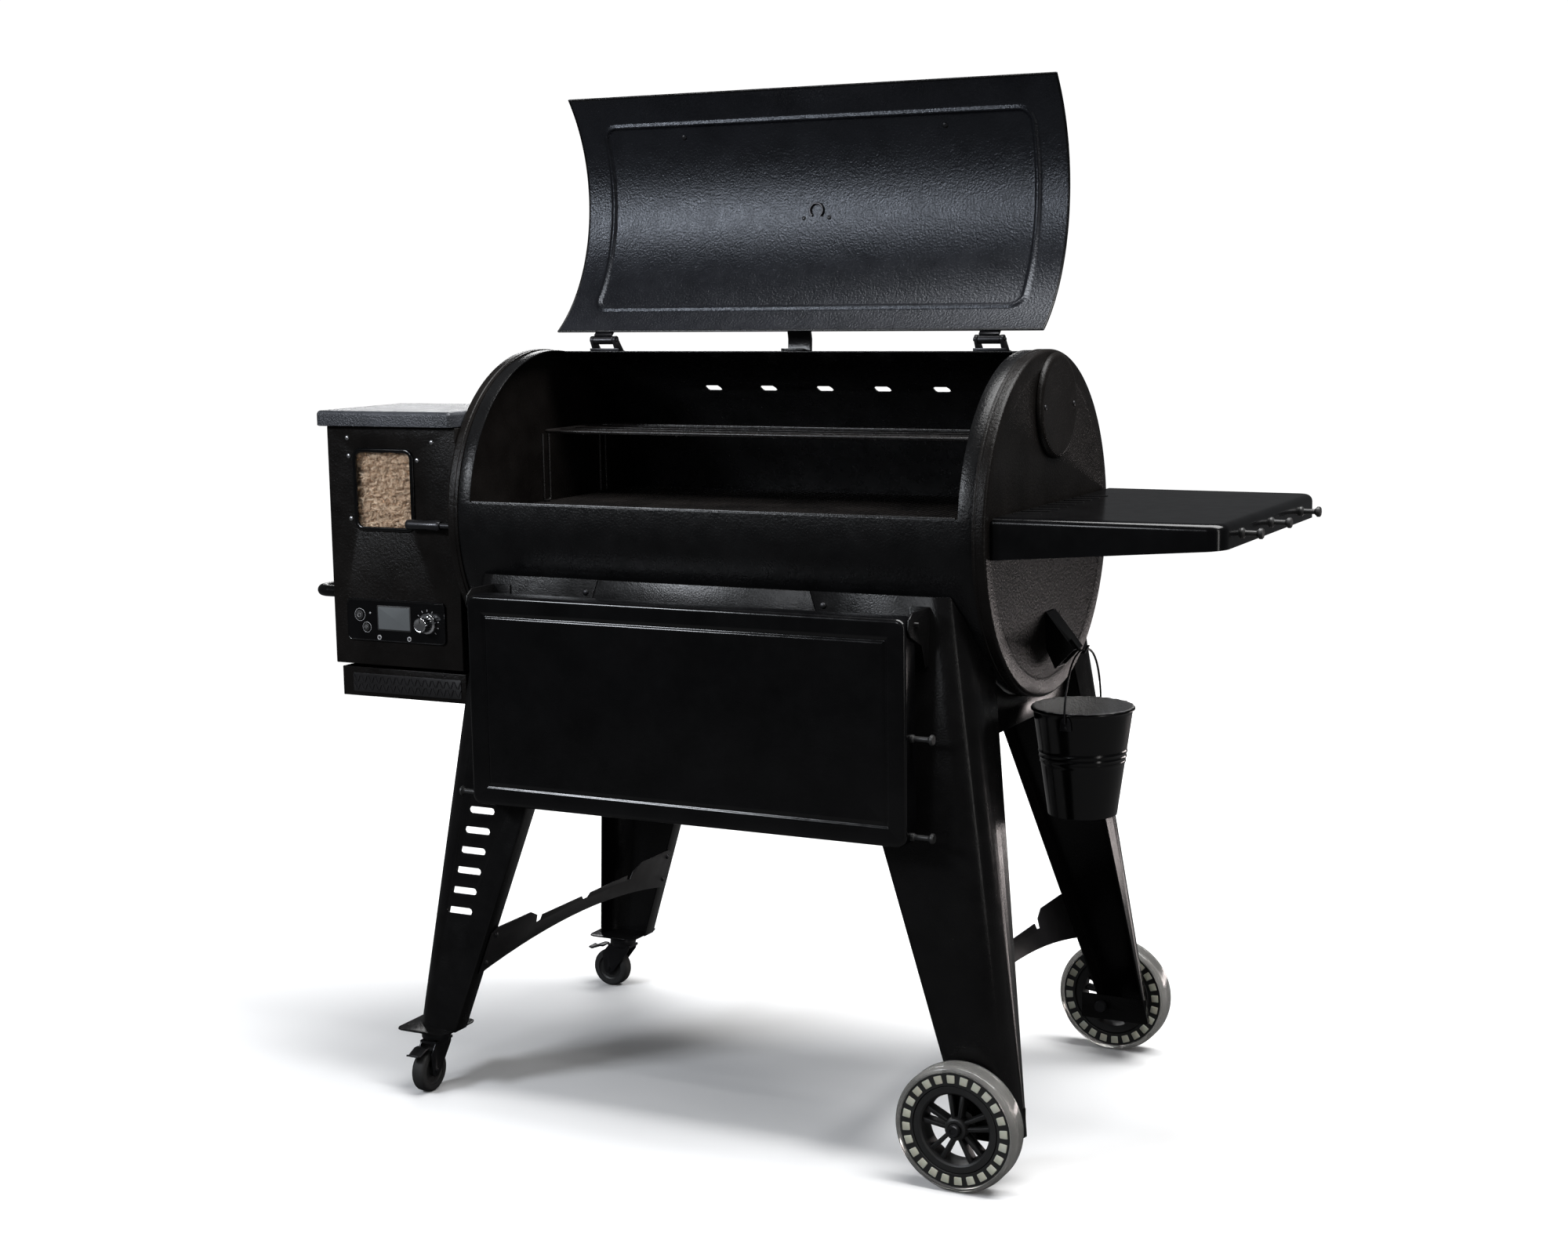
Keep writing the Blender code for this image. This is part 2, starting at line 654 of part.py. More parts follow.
def brace_outline():
    """Half of it is drawn from the middle to one end, then mirrored."""
    half = [(0.008, 0.276), (0.016, 0.284), (0.150, 0.284), (0.152, 0.274), (0.166, 0.272),
            (0.170, 0.288), (0.196, 0.300), (0.300, 0.300), (0.318, 0.292), (0.324, 0.216)]
    low = [(0.324 * (1 - i / 8), 0.216 + 0.034 * (1 - (1 - i / 8) ** 2)) for i in range(1, 8)]
    mirrored = [(-y, z) for y, z in reversed(half + low)]
    return half + low + [(0, 0.250)] + mirrored


def make_braces(grill):
    """Arched plates that tie the front and rear legs together on their inner flanges."""
    for name, side in (("leg_brace_left", -1), ("leg_brace_right", 1)):
        bm = prism("X", brace_outline(), lambda y, z: side * (leg_in(z) - GAP),
                   lambda y, z: side * (leg_in(z) - GAP - BRACE_T))
        solid(name, bm, "powder_coat", grill, (side * 0.42, 0, 0.25), smooth=False)


# Wheels and casters


def make_wheels(grill):
    """Two big wheels on stub axles at the right."""
    for end, name in ((-1, "front"), (1, "rear")):
        spin = pivot(f"wheel_{name}_pivot", (WHEEL_X, end * WHEEL_IN, WHEEL_R), grill)
        centre = (WHEEL_X, WHEEL_R)
        hub = [(AXLE_R + 0.0004, WHEEL_IN), (0.018, WHEEL_IN), (0.018, WHEEL_IN + 0.010),
               (0.058, WHEEL_IN + 0.012), (0.060, WHEEL_IN + 0.003), (0.0695, WHEEL_IN + 0.003),
               (0.0700, 0.374), (0.0695, WHEEL_OUT - 0.004), (0.060, WHEEL_OUT - 0.004),
               (0.057, WHEEL_OUT - 0.012), (0.020, WHEEL_OUT - 0.008), (0.017, WHEEL_OUT - 0.003),
               (AXLE_R + 0.0004, WHEEL_OUT - 0.003)]
        disc = solid(f"wheel_{name}", lathe("Y", centre, [(r, end * y) for r, y in hub], 24, closed=True),
                     "black_plastic", spin)
        windows = bmesh.new()
        for i in range(5):
            for offset, inner_half, outer_half in ((0, 5.5, 11), (36, 9, 16)):
                middle = 90 + 72 * i + offset
                outline = arc(centre, 0.055, middle - outer_half, middle + outer_half, 2)
                outline += arc(centre, 0.025, middle + inner_half, middle - inner_half, 1)
                prism("Y", outline, end * 0.34, end * 0.41, windows)
        cut(disc, windows, "windows")
        tread = [(TYRE_IN_R, WHEEL_IN), (0.094, WHEEL_IN), (0.0995, WHEEL_IN + 0.005),
                 (WHEEL_R, WHEEL_IN + 0.014), (WHEEL_R, WHEEL_OUT - 0.014), (0.0995, WHEEL_OUT - 0.005),
                 (0.094, WHEEL_OUT), (TYRE_IN_R, WHEEL_OUT), (TYRE_IN_R + 0.0004, 0.374)]
        solid(f"tyre_{name}", lathe("Y", centre, [(r, end * y) for r, y in tread], 32, closed=True),
              "clear_tyre", spin)
        bolt = [(0, 0.286), (0.010, 0.286), (0.010, 0.2945), (AXLE_R, 0.2945), (AXLE_R, WHEEL_OUT - 0.002),
                (0.011, WHEEL_OUT - 0.002), (0.011, WHEEL_OUT + 0.003), (0.006, WHEEL_OUT + 0.006),
                (0, WHEEL_OUT + 0.006)]
        solid(f"axle_{name}", lathe("Y", centre, [(r, end * y) for r, y in bolt], 16), "steel", grill,
              (WHEEL_X, end * 0.3, WHEEL_R))


def turned(bm, centre, degrees):
    """Turn a shape about the upright line through `centre`."""
    turn = Matrix.Rotation(math.radians(degrees), 4, "Z")
    centre = Vector((*centre, 0))
    move = Matrix.Translation(centre) @ turn @ Matrix.Translation(-centre)
    bmesh.ops.transform(bm, matrix=move, verts=bm.verts)
    return bm


def make_casters(grill):
    """Two swivel casters at the left, each with a brake pedal; drawn trailing to -X, then turned."""
    for end, name, heading in ((-1, "front", 90), (1, "rear", 0)):
        centre = (CASTER_X, end * CASTER_Y)
        heading_turn = Matrix.Rotation(math.radians(heading), 3, "Z")
        trail = heading_turn @ Vector((-CASTER_TRAIL, 0, 0))
        swivel = pivot(f"caster_{name}_pivot", (*centre, 0.1), grill)
        axle_place = (centre[0] + trail.x, centre[1] + trail.y, CASTER_R)
        roll = pivot(f"caster_{name}_axle", axle_place, swivel)
        wx, y0 = centre[0] - CASTER_TRAIL, centre[1]

        race = lathe("Z", centre, [(0, 0.0860), (0.0230, 0.0860), (0.0260, 0.0920), (0.0260, 0.1000),
                                   (0.0210, 0.1104), (0, 0.1104)], 20)
        fork = solid(f"caster_fork_{name}", race, "steel", swivel)
        arms = bmesh.new()
        side = [(centre[0] + 0.022, 0.0880), (centre[0] + 0.020, 0.0780), (wx + 0.011, 0.0330),
                (wx + 0.005, 0.0275), (wx - 0.006, 0.0275), (wx - 0.011, 0.0340),
                (wx - 0.014, 0.0700), (centre[0] - 0.024, 0.0880)]
        inner = CASTER_HALF_W + 0.0015
        prism("Y", side, y0 - inner - 0.0025, y0 - inner, arms)
        prism("Y", side, y0 + inner, y0 + inner + 0.0025, arms)
        add(fork, turned(arms, centre, heading), "arms")
        crown = block((centre[0] - 0.026, y0 - inner - 0.0035, 0.0840),
                      (centre[0] + 0.024, y0 + inner + 0.0035, 0.0890))
        add(fork, turned(crown, centre, heading), "crown")
        pin = rod("Y", (wx, CASTER_R), 0.0035, y0 - inner - 0.005, y0 + inner + 0.005, 12)
        add(fork, turned(pin, centre, heading), "pin")

        wide = CASTER_HALF_W
        tyre = [(0.0039, y0 - wide), (0.030, y0 - wide), (0.0365, y0 - wide + 0.002),
                (CASTER_R, y0 - wide + 0.007), (CASTER_R, y0 + wide - 0.007),
                (0.0365, y0 + wide - 0.002), (0.030, y0 + wide), (0.0039, y0 + wide)]
        wheel = lathe("Y", (wx, CASTER_R), tyre, 24, closed=True)
        solid(f"caster_wheel_{name}", turned(wheel, centre, heading), "rubber", roll)

        lever_place = heading_turn @ Vector((-CASTER_TRAIL - 0.018, 0, 0))
        lever_pivot = pivot(f"caster_brake_{name}_pivot",
                            (centre[0] + lever_place.x, centre[1] + lever_place.y, 0.0820), swivel)
        lx = wx - 0.018
        pedal = [(lx + 0.004, 0.0800), (lx + 0.004, 0.0836), (lx - 0.006, 0.0840), (lx - 0.024, 0.0760),
                 (lx - 0.030, 0.0780), (lx - 0.031, 0.0750), (lx - 0.024, 0.0722), (lx - 0.004, 0.0795)]
        bm = prism("Y", pedal, y0 - CASTER_HALF_W, y0 + CASTER_HALF_W)
        solid(f"caster_brake_{name}", turned(bm, centre, heading), "steel", lever_pivot, smooth=False)


# Shelves


def make_side_shelf(grill):
    """Pressed side table with a deep tapered skirt and three T-headed tool pegs."""
    low_x = CAP_END + GAP

    def skirt(x, y):
        return SIDE_TOP - SIDE_DROP_IN + (SIDE_DROP_IN - SIDE_DROP_OUT) * (x - low_x) / (SIDE_OUT - low_x)

    outer = [(low_x, SIDE_FRONT), *arc((SIDE_OUT - 0.028, SIDE_FRONT + 0.028), 0.028, -90, 0, 4),
             *arc((SIDE_OUT - 0.028, SIDE_BACK - 0.028), 0.028, 0, 90, 4), (low_x, SIDE_BACK)]
    inner = [(low_x + SHEET, SIDE_FRONT + SHEET),
             *arc((SIDE_OUT - 0.028, SIDE_FRONT + 0.028), 0.028 - SHEET, -90, 0, 4),
             *arc((SIDE_OUT - 0.028, SIDE_BACK - 0.028), 0.028 - SHEET, 0, 90, 4),
             (low_x + SHEET, SIDE_BACK - SHEET)]
    shelf = solid("side_shelf", tray("Z", outer, inner, SIDE_TOP, SIDE_TOP - SHEET, skirt),
                  "gloss_enamel", grill, (low_x, 0, SIDE_TOP))
    pegs = bmesh.new()
    for y in PEG_Y:
        profile = [(0, SIDE_OUT - 0.002), (0.0075, SIDE_OUT - 0.002), (0.0065, SIDE_OUT + 0.004),
                   (0.0040, SIDE_OUT + 0.006), (0.0040, SIDE_OUT + 0.026), (0.0085, SIDE_OUT + 0.028),
                   (0.0085, SIDE_OUT + 0.033), (0, SIDE_OUT + 0.033)]
        lathe("X", (y, PEG_Z), profile, 8, bm=pegs)
    add(shelf, pegs, "pegs")


def make_front_shelf(grill):
    """Folding front table, hanging down on two pivots, with T-headed pegs on its ends."""
    fold = pivot("front_shelf_pivot", (0, SHELF_PIVOT_Y, SHELF_PIVOT_Z), grill)
    outer = rounded(-SHELF_HALF, SHELF_LOW, SHELF_HALF, SHELF_HIGH, 0.010)
    inner = rounded(-SHELF_HALF + SHEET, SHELF_LOW + SHEET, SHELF_HALF - SHEET, SHELF_HIGH - SHEET, 0.007)
    shelf = solid("front_shelf", tray("Y", outer, inner, SHELF_FRONT, SHELF_FRONT + SHEET, SHELF_BACK),
                  "gloss_enamel", fold)
    pegs = bmesh.new()
    for side, z in ((1, 0.708), (1, 0.552), (-1, 0.552)):
        profile = [(0, SHELF_HALF - 0.002), (0.0060, SHELF_HALF - 0.002), (0.0060, SHELF_HALF + 0.004),
                   (0.0045, SHELF_HALF + 0.006), (0.0045, SHELF_HALF + 0.030), (0.0085, SHELF_HALF + 0.033),
                   (0.0085, SHELF_HALF + 0.038), (0, SHELF_HALF + 0.038)]
        lathe("X", (-0.352, z), [(r, side * x) for r, x in profile], 8, bm=pegs)
    add(shelf, pegs, "pegs")
    bores = rod("X", (SHELF_PIVOT_Y, SHELF_PIVOT_Z), 0.0049, -0.42, -0.39, 16)
    rod("X", (SHELF_PIVOT_Y, SHELF_PIVOT_Z), 0.0049, 0.39, 0.42, 16, bores)
    cut(shelf, bores, "bores")
    for name, side in (("shelf_bracket_left", -1), ("shelf_bracket_right", 1)):
        ear = [(-leg_face(0.812) - GAP, 0.812), (-leg_face(0.905) - GAP, 0.905), (-0.352, 0.905), (-0.366, 0.896), (-0.370, 0.880),
               (-0.362, 0.868), (-0.318, 0.848), (-0.305, 0.812)]
        near, far = side * (SHELF_HALF + 0.0015), side * (SHELF_HALF + 0.0045)
        bracket = solid(name, prism("X", ear, near, far), "powder_coat", grill,
                        (side * SHELF_HALF, -0.3, 0.85), smooth=False)
        foot = [(x, z) for x, z in box_outline(0.372, 0.812, SHELF_HALF + 0.0045, 0.905)]
        face = prism("Y", [(side * x, z) for x, z in foot], lambda x, z: -leg_face(z) - GAP - 0.0025,
                     lambda x, z: -leg_face(z) - GAP)
        add(bracket, face, "foot")
        pin = rod("X", (SHELF_PIVOT_Y, SHELF_PIVOT_Z), 0.0045, side * 0.396, side * 0.4155, 16)
        add(bracket, pin, "pin")


# Hopper


def hopper_outline(shrink, rear=HOPPER_BACK):
    return box_outline(HOPPER_LEFT + shrink, HOPPER_FRONT + shrink, HOPPER_RIGHT - shrink, rear - shrink)


def make_hopper_body(grill):
    """Square pellet box with a window hole in front and a hole for the auger at the barrel's side."""
    body = solid("hopper_body", tray("Z", hopper_outline(0), hopper_outline(SHEET), HOPPER_LOW,
                                     HOPPER_LOW + SHEET, HOPPER_HIGH - GAP),
                 "powder_coat", grill, (HOPPER_RIGHT, 0, HOPPER_LOW), smooth=False)
    cut(body, prism("Y", rounded(*WINDOW, 0.010), HOPPER_FRONT - 0.01, HOPPER_FRONT + 0.01), "window")
    cut(body, rod("X", (AUGER_Y, AUGER_Z), AUGER_TUBE_R + 0.001, HOPPER_RIGHT - 0.02, HOPPER_RIGHT + 0.02, 24),
        "auger_hole")
    pane = (WINDOW[0] + GAP, WINDOW[1] + GAP, WINDOW[2] - GAP, WINDOW[3] - GAP)
    solid("hopper_window", prism("Y", rounded(*pane, 0.0095), HOPPER_FRONT, HOPPER_FRONT + SHEET),
          "window_glass", grill, (-0.66, HOPPER_FRONT, 1.05))


def make_hopper_funnel(grill):
    """Sloping bin floor that leads the pellets down to the auger's mouth."""
    bm = bmesh.new()
    levels = [((HOPPER_LEFT + 0.004, HOPPER_FRONT + 0.004, HOPPER_RIGHT - 0.004, HOPPER_BACK - 0.004), 0.980),
              ((-0.690, AUGER_Y - 0.030, -0.590, AUGER_Y + 0.030), 0.858)]
    outer = [loop(bm, "Z", box_outline(*ends), z) for ends, z in levels]
    inner = []
    for ends, z in levels:
        shrunk = (ends[0] + SHEET, ends[1] + SHEET, ends[2] - SHEET, ends[3] - SHEET)
        inner.append(loop(bm, "Z", box_outline(*shrunk), z))
    band(bm, outer[0], outer[1])
    band(bm, outer[1], inner[1])
    band(bm, inner[1], inner[0])
    band(bm, inner[0], outer[0])
    solid("hopper_funnel", bm, "steel", grill, (-0.64, AUGER_Y, 0.858), smooth=False)


def make_hopper_lid(grill):
    hinge = pivot("hopper_lid_pivot", (-0.645, HOPPER_HINGE_Y, HOPPER_HINGE_Z), grill)
    outer = rounded(-0.790, -0.266, HOPPER_RIGHT, HOPPER_HINGE_Y - 0.004, 0.006, 2)
    inner = rounded(-0.787, -0.263, HOPPER_RIGHT - SHEET, HOPPER_HINGE_Y - 0.007, 0.003, 2)
    lid = solid("hopper_lid", tray("Z", outer, inner, HOPPER_LID_TOP, HOPPER_LID_TOP - SHEET, HOPPER_HIGH),
                "hammered_coat", hinge)
    add(lid, rod("X", (HOPPER_HINGE_Y, HOPPER_HINGE_Z), 0.0065, -0.760, -0.530, 12), "barrel")


def make_hopper_base(grill):
    """Shallow vented box under the hopper, with a patterned grille in front."""
    outer = box_outline(-0.770, -0.243, HOPPER_RIGHT, HOPPER_BACK - 0.007)
    inner = box_outline(-0.767, -0.240, HOPPER_RIGHT - SHEET, HOPPER_BACK - 0.010)
    solid("hopper_base", tray("Z", outer, inner, BASE_LOW, BASE_LOW + SHEET, BASE_HIGH),
          "powder_coat", grill, (-0.635, 0, BASE_LOW), smooth=False)
    solid("vent_grille", prism("Y", rounded(-0.746, 0.688, -0.511, 0.722, 0.003), -0.2455, -0.2434),
          "powder_coat", grill, (-0.63, -0.244, 0.705))


def make_hopper_fittings(grill):
    """Carrying handle, power inlet, auger motor."""
    corners = [(HOPPER_LEFT - GAP, -0.225, 0.866), (-0.8335, -0.225, 0.866), (-0.8335, -0.045, 0.866),
               (HOPPER_LEFT - GAP, -0.045, 0.866)]
    tube("hopper_handle", filleted(corners, 0.030), 0.0105, "powder_coat", grill, 3)
    inlet = solid("power_inlet", prism("Y", rounded(-0.665, 0.790, -0.615, 0.820, 0.004),
                                       HOPPER_BACK + GAP, HOPPER_BACK + 0.006), "black_plastic", grill,
                  (-0.64, HOPPER_BACK, 0.805))
    cut(inlet, prism("Y", rounded(-0.655, 0.7965, -0.630, 0.8135, 0.003), HOPPER_BACK + 0.003,
                     HOPPER_BACK + 0.01), "socket")
    profile = [(0, -0.7730), (0.030, -0.7730), (0.030, -0.7420), (0.012, -0.7400), (0.012, -0.7290),
               (0, -0.7290)]
    solid("auger_motor", lathe("X", (AUGER_Y, AUGER_Z), profile, 20), "steel", grill, (-0.773, AUGER_Y, AUGER_Z))


def make_controls(grill):
    """Control panel with its dial and two push buttons."""
    face = HOPPER_FRONT - GAP
    panel = solid("control_panel", prism("Y", rounded(*PANEL, 0.010), face - 0.004, face),
                  "gloss_enamel", grill, (-0.64, face, 0.82))
    wells = bmesh.new()
    for place, radius in ((DIAL, 0.0055), (POWER, 0.0086), (PRIME, 0.0068)):
        rod("Y", place, radius + 0.0006, face - 0.01, face - 0.0012, 16, wells)
    cut(panel, wells, "wells")
    turn = pivot("dial_pivot", (DIAL[0], face, DIAL[1]), grill)
    knob = [(0, face - 0.0016), (0.0055, face - 0.0016), (0.0055, face - 0.0045), (0.0185, face - 0.0045),
            (0.0185, face - 0.0085), (0.0150, face - 0.0100), (0.0135, face - 0.0260),
            (0.0125, face - 0.0275), (0, face - 0.0275)]
    solid("dial", lathe("Y", DIAL, knob, 16), "chrome", turn)
    for name, place, radius in (("power_button", POWER, 0.0086), ("prime_button", PRIME, 0.0068)):
        slide = pivot(f"{name}_pivot", (place[0], face, place[1]), grill)
        cap = [(0, face - 0.0032), (radius, face - 0.0032), (radius, face - 0.0052),
               (radius - 0.001, face - 0.0060), (0, face - 0.0060)]
        solid(name, lathe("Y", place, cap, 12), "black_plastic", slide)


def make_auger(grill):
    """Screw: a round shaft whose section bulges on one side and turns once in each pitch."""
    spin = pivot("auger_pivot", (-0.728, AUGER_Y, AUGER_Z), grill)
    bulge = (0.0270, 0.0180, 0.0085, 0.0085, 0.0085, 0.0180)
    start, pitch, turns, sides = -0.7200, 0.096, 6, 6
    bm = bmesh.new()
    rings = []
    for i in range(turns * sides + 1):
        ring = []
        for k in range(sides):
            angle = 2 * math.pi * k / sides
            radius = bulge[(k - i) % sides]
            ring.append(bm.verts.new((start + pitch * i / sides, AUGER_Y + radius * math.cos(angle),
                                      AUGER_Z + radius * math.sin(angle))))
        rings.append(ring)
    bm.faces.new(rings[0][::-1])
    bm.faces.new(rings[-1])
    for first, second in zip(rings, rings[1:]):
        band(bm, first, second)
    solid("auger", bm, "steel", spin, smooth=False)


def make_fan(grill):
    """Combustion fan's rotor: eight paddles round a boss."""
    spin = pivot("fan_pivot", (-0.640, AUGER_Y, 0.688), grill)
    outline = []
    for i in range(8):
        middle = 45 * i
        outline += arc((-0.640, AUGER_Y), 0.036, middle - 5, middle + 5, 1)
        outline += arc((-0.640, AUGER_Y), 0.013, middle + 14, middle + 31, 1)
    solid("fan", prism("Z", outline, 0.688, 0.716), "black_plastic", spin, smooth=False)


# Bucket


def make_bucket(grill):
    """Grease bucket, and its wire bail that hangs on the spout's hook."""
    hang = pivot("bail_pivot", (BUCKET_X, BUCKET_Y, BAIL_Z), grill)
    tilt = pivot("bucket_pivot", (BUCKET_X, BUCKET_Y, EAR_Z), hang)
    low = BUCKET_RIM_Z - BUCKET_H
    skin = 0.0016
    profile = [(0, low + 0.004), (BUCKET_BASE_R - 0.002, low + 0.004), (BUCKET_BASE_R - 0.002, low),
               (BUCKET_BASE_R, low), (BUCKET_RIM_R - 0.003, BUCKET_RIM_Z - 0.005),
               (BUCKET_RIM_R, BUCKET_RIM_Z - 0.003), (BUCKET_RIM_R - 0.001, BUCKET_RIM_Z),
               (BUCKET_RIM_R - 0.004, BUCKET_RIM_Z), (BUCKET_RIM_R - 0.003 - skin, BUCKET_RIM_Z - 0.005),
               (BUCKET_BASE_R - skin, low + 0.006), (0, low + 0.006)]
    bucket = solid("bucket", lathe("Z", (BUCKET_X, BUCKET_Y), profile, 24), "gloss_enamel", tilt)
    ears = bmesh.new()
    for end in (-1, 1):
        ear = [(BUCKET_X - 0.010, EAR_Z - 0.014), (BUCKET_X + 0.010, EAR_Z - 0.014),
               *arc((BUCKET_X, EAR_Z), 0.009, 0, 180, 6)]
        span = sorted((BUCKET_Y + end * 0.0790, BUCKET_Y + end * 0.0840))
        prism("Y", ear, *span, ears)
    add(bucket, ears, "ears")
    cut(bucket, rod("Y", (BUCKET_X, EAR_Z), 0.0026, BUCKET_Y - 0.1, BUCKET_Y + 0.1, 12), "ear_holes")
    reach, high = 0.0890, BAIL_Z - EAR_Z
    corners = [(BUCKET_X, BUCKET_Y - 0.0775, EAR_Z), (BUCKET_X, BUCKET_Y - reach, EAR_Z)]
    for i in range(1, 12):
        turn = math.pi * i / 12
        y = -reach * math.copysign(abs(math.cos(turn)) ** 0.8, math.cos(turn))
        corners.append((BUCKET_X, BUCKET_Y + y, EAR_Z + high * math.sin(turn)))
    corners += [(BUCKET_X, BUCKET_Y + reach, EAR_Z), (BUCKET_X, BUCKET_Y + 0.0775, EAR_Z)]
    tube("bail", corners, WIRE_R, "steel", hang, 1)


def build():
    grill = pivot("grill", (0, 0, 0))
    grill.location = (BARREL_X, BARREL_Y, 0)
    lid_pivot = pivot("lid_pivot", (0, HINGE_Y, HINGE_Z), grill)
    make_lid(lid_pivot)
    make_lid_handle(lid_pivot)
    for make in (make_drum_shell, make_end_caps, make_vent_cover, make_grease_spout, make_grates,
                 make_upper_rack, make_fire_parts, make_broiler_slide, make_lid_hinges, make_legs,
                 make_cross_panels, make_braces, make_wheels, make_casters, make_side_shelf,
                 make_front_shelf, make_hopper_body, make_hopper_funnel, make_hopper_lid,
                 make_hopper_base, make_hopper_fittings, make_controls, make_auger, make_fan,
                 make_bucket):
        make(grill)


clear_scene()
MATERIALS = {name: make_material(name) for name in FINISHES}
build()
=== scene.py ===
import json
from math import cos, pi, radians, sin

import bmesh
import bpy
import numpy as np
from mathutils import Matrix, Vector


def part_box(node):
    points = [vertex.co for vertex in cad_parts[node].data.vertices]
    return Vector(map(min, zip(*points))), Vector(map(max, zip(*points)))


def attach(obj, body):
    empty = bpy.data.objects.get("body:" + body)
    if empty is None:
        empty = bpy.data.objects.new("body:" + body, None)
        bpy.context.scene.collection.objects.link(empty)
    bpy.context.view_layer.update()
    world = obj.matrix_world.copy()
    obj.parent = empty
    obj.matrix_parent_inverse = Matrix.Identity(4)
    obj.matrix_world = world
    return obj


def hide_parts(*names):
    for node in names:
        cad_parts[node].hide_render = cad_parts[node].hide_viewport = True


# Pellet smoker grill: fine surfaces, finishes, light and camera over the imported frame.
# Shapes are worked out in metres about the barrel's middle on the floor; `put` sets them in place.

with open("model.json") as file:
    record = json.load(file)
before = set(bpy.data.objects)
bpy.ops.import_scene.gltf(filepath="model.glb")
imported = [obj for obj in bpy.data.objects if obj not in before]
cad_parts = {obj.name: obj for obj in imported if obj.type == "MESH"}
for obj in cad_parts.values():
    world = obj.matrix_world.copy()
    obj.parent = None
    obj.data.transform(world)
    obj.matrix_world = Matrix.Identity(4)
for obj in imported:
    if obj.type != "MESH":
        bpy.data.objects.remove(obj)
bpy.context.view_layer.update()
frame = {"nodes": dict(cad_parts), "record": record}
NODES = frame["nodes"]
BODY = {node: body for body, nodes in frame["record"]["behaviour"]["bodies"].items() for node in nodes}


def span(node):
    """Lowest and highest corner of a node, about the barrel's middle."""
    low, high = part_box(node)
    return np.array(low) - (MIDDLE, 0, 0), np.array(high) - (MIDDLE, 0, 0)


def rect(low, high, a=0, b=2):
    """Middle and half size of a box in two of its axes."""
    return ((low[a] + high[a]) / 2, (low[b] + high[b]) / 2), ((high[a] - low[a]) / 2, (high[b] - low[b]) / 2)


drum_low, drum_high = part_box("drum_shell")
MIDDLE = (drum_low.x + drum_high.x) / 2
DRUM_R = (drum_high.y - drum_low.y) / 2
DRUM_Z = (drum_low.z + drum_high.z) / 2
SHELL_END = (drum_high.x - drum_low.x) / 2
CAP_END = span("end_cap_right")[1][0]
CAP_R = span("end_cap_right")[1][1]
SHEET = 0.003

# Barrel opening and lid, in degrees up from the front
OPENING = (6.7, 98.0)
OPENING_HALF = 0.453
SLOT_Z = 1.22
SLOT_PITCH = 0.114
LID_R = 0.289
LID_HALF = 0.4725
LID_ARC = (4.0, 98.0)
LID_OPEN = 137.0
HINGE = (0.048, 1.31)
HINGE_X = 0.375
HANDLE_ANGLE = 21.0
BEAD = (16.1, 86.3)
BEAD_HALF = 0.416


# Materials


def add(tree, *kinds):
    """New shader nodes, one of each kind."""
    return [tree.nodes.new("ShaderNode" + kind) for kind in kinds]


def socket(tree, value, target):
    """Set an input to a plain value, or link a node's output to it."""
    if isinstance(value, bpy.types.NodeSocket):
        tree.links.new(value, target)
    else:
        target.default_value = value


class Finish:
    """Procedural surface in object coordinates: mottled colour, uneven gloss and a fine relief."""

    def __init__(self, name, slot, colour, second=None, rough=(0.35, 0.45), cloud=(14, 4), **shader):
        self.slot = slot
        self.material = bpy.data.materials.new(name)
        self.material.use_nodes = True
        self.tree = self.material.node_tree
        self.shader = self.tree.nodes["Principled BSDF"]
        coordinates, mapping = add(self.tree, "TexCoord", "Mapping")
        self.tree.links.new(coordinates.outputs["Object"], mapping.inputs["Vector"])
        self.place = mapping.outputs["Vector"]
        self.normal = None
        for key, value in shader.items():
            self.shader.inputs[key.replace("_", " ")].default_value = value
        second = second or tuple(min(1, c * 1.7 + 0.0012) for c in colour)
        self.tree.links.new(self.mix(self.noise(*cloud), colour, second), self.shader.inputs["Base Color"])
        self.tree.links.new(self.span(self.noise(45, 5), rough), self.shader.inputs["Roughness"])

    def noise(self, scale, detail=2.0, kind="TexNoise"):
        node, = add(self.tree, kind)
        self.tree.links.new(self.place, node.inputs["Vector"])
        node.inputs["Scale"].default_value = scale
        if "Detail" in node.inputs:
            node.inputs["Detail"].default_value = detail
        return node.outputs["Distance" if kind == "TexVoronoi" else "Fac"]

    def span(self, value, ends, between=(0.3, 0.7)):
        node, = add(self.tree, "MapRange")
        self.tree.links.new(value, node.inputs["Value"])
        for key, number in zip(("From Min", "From Max", "To Min", "To Max"), (*between, *ends)):
            node.inputs[key].default_value = number
        return node.outputs["Result"]

    def mix(self, factor, first, second):
        node, = add(self.tree, "Mix")
        node.data_type = "RGBA"
        socket(self.tree, self.span(factor, (0, 1)), node.inputs["Factor"])
        for name, colour in (("A", first), ("B", second)):
            target = [i for i in node.inputs if i.name == name and i.type == "RGBA"][0]
            socket(self.tree, colour if isinstance(colour, bpy.types.NodeSocket) else (*colour, 1), target)
        return [o for o in node.outputs if o.type == "RGBA"][0]

    def relief(self, value, depth, strength=1.0):
        """Bump of `depth` metres, on top of any relief already there."""
        node, = add(self.tree, "Bump")
        self.tree.links.new(value, node.inputs["Height"])
        node.inputs["Distance"].default_value = depth
        node.inputs["Strength"].default_value = strength
        if self.normal:
            self.tree.links.new(self.normal, node.inputs["Normal"])
        self.normal = node.outputs["Normal"]
        self.tree.links.new(self.normal, self.shader.inputs["Normal"])

    def layered(self, *layers):
        for depth, strength, *noise in layers:
            self.relief(self.noise(*noise), depth, strength)
        return self


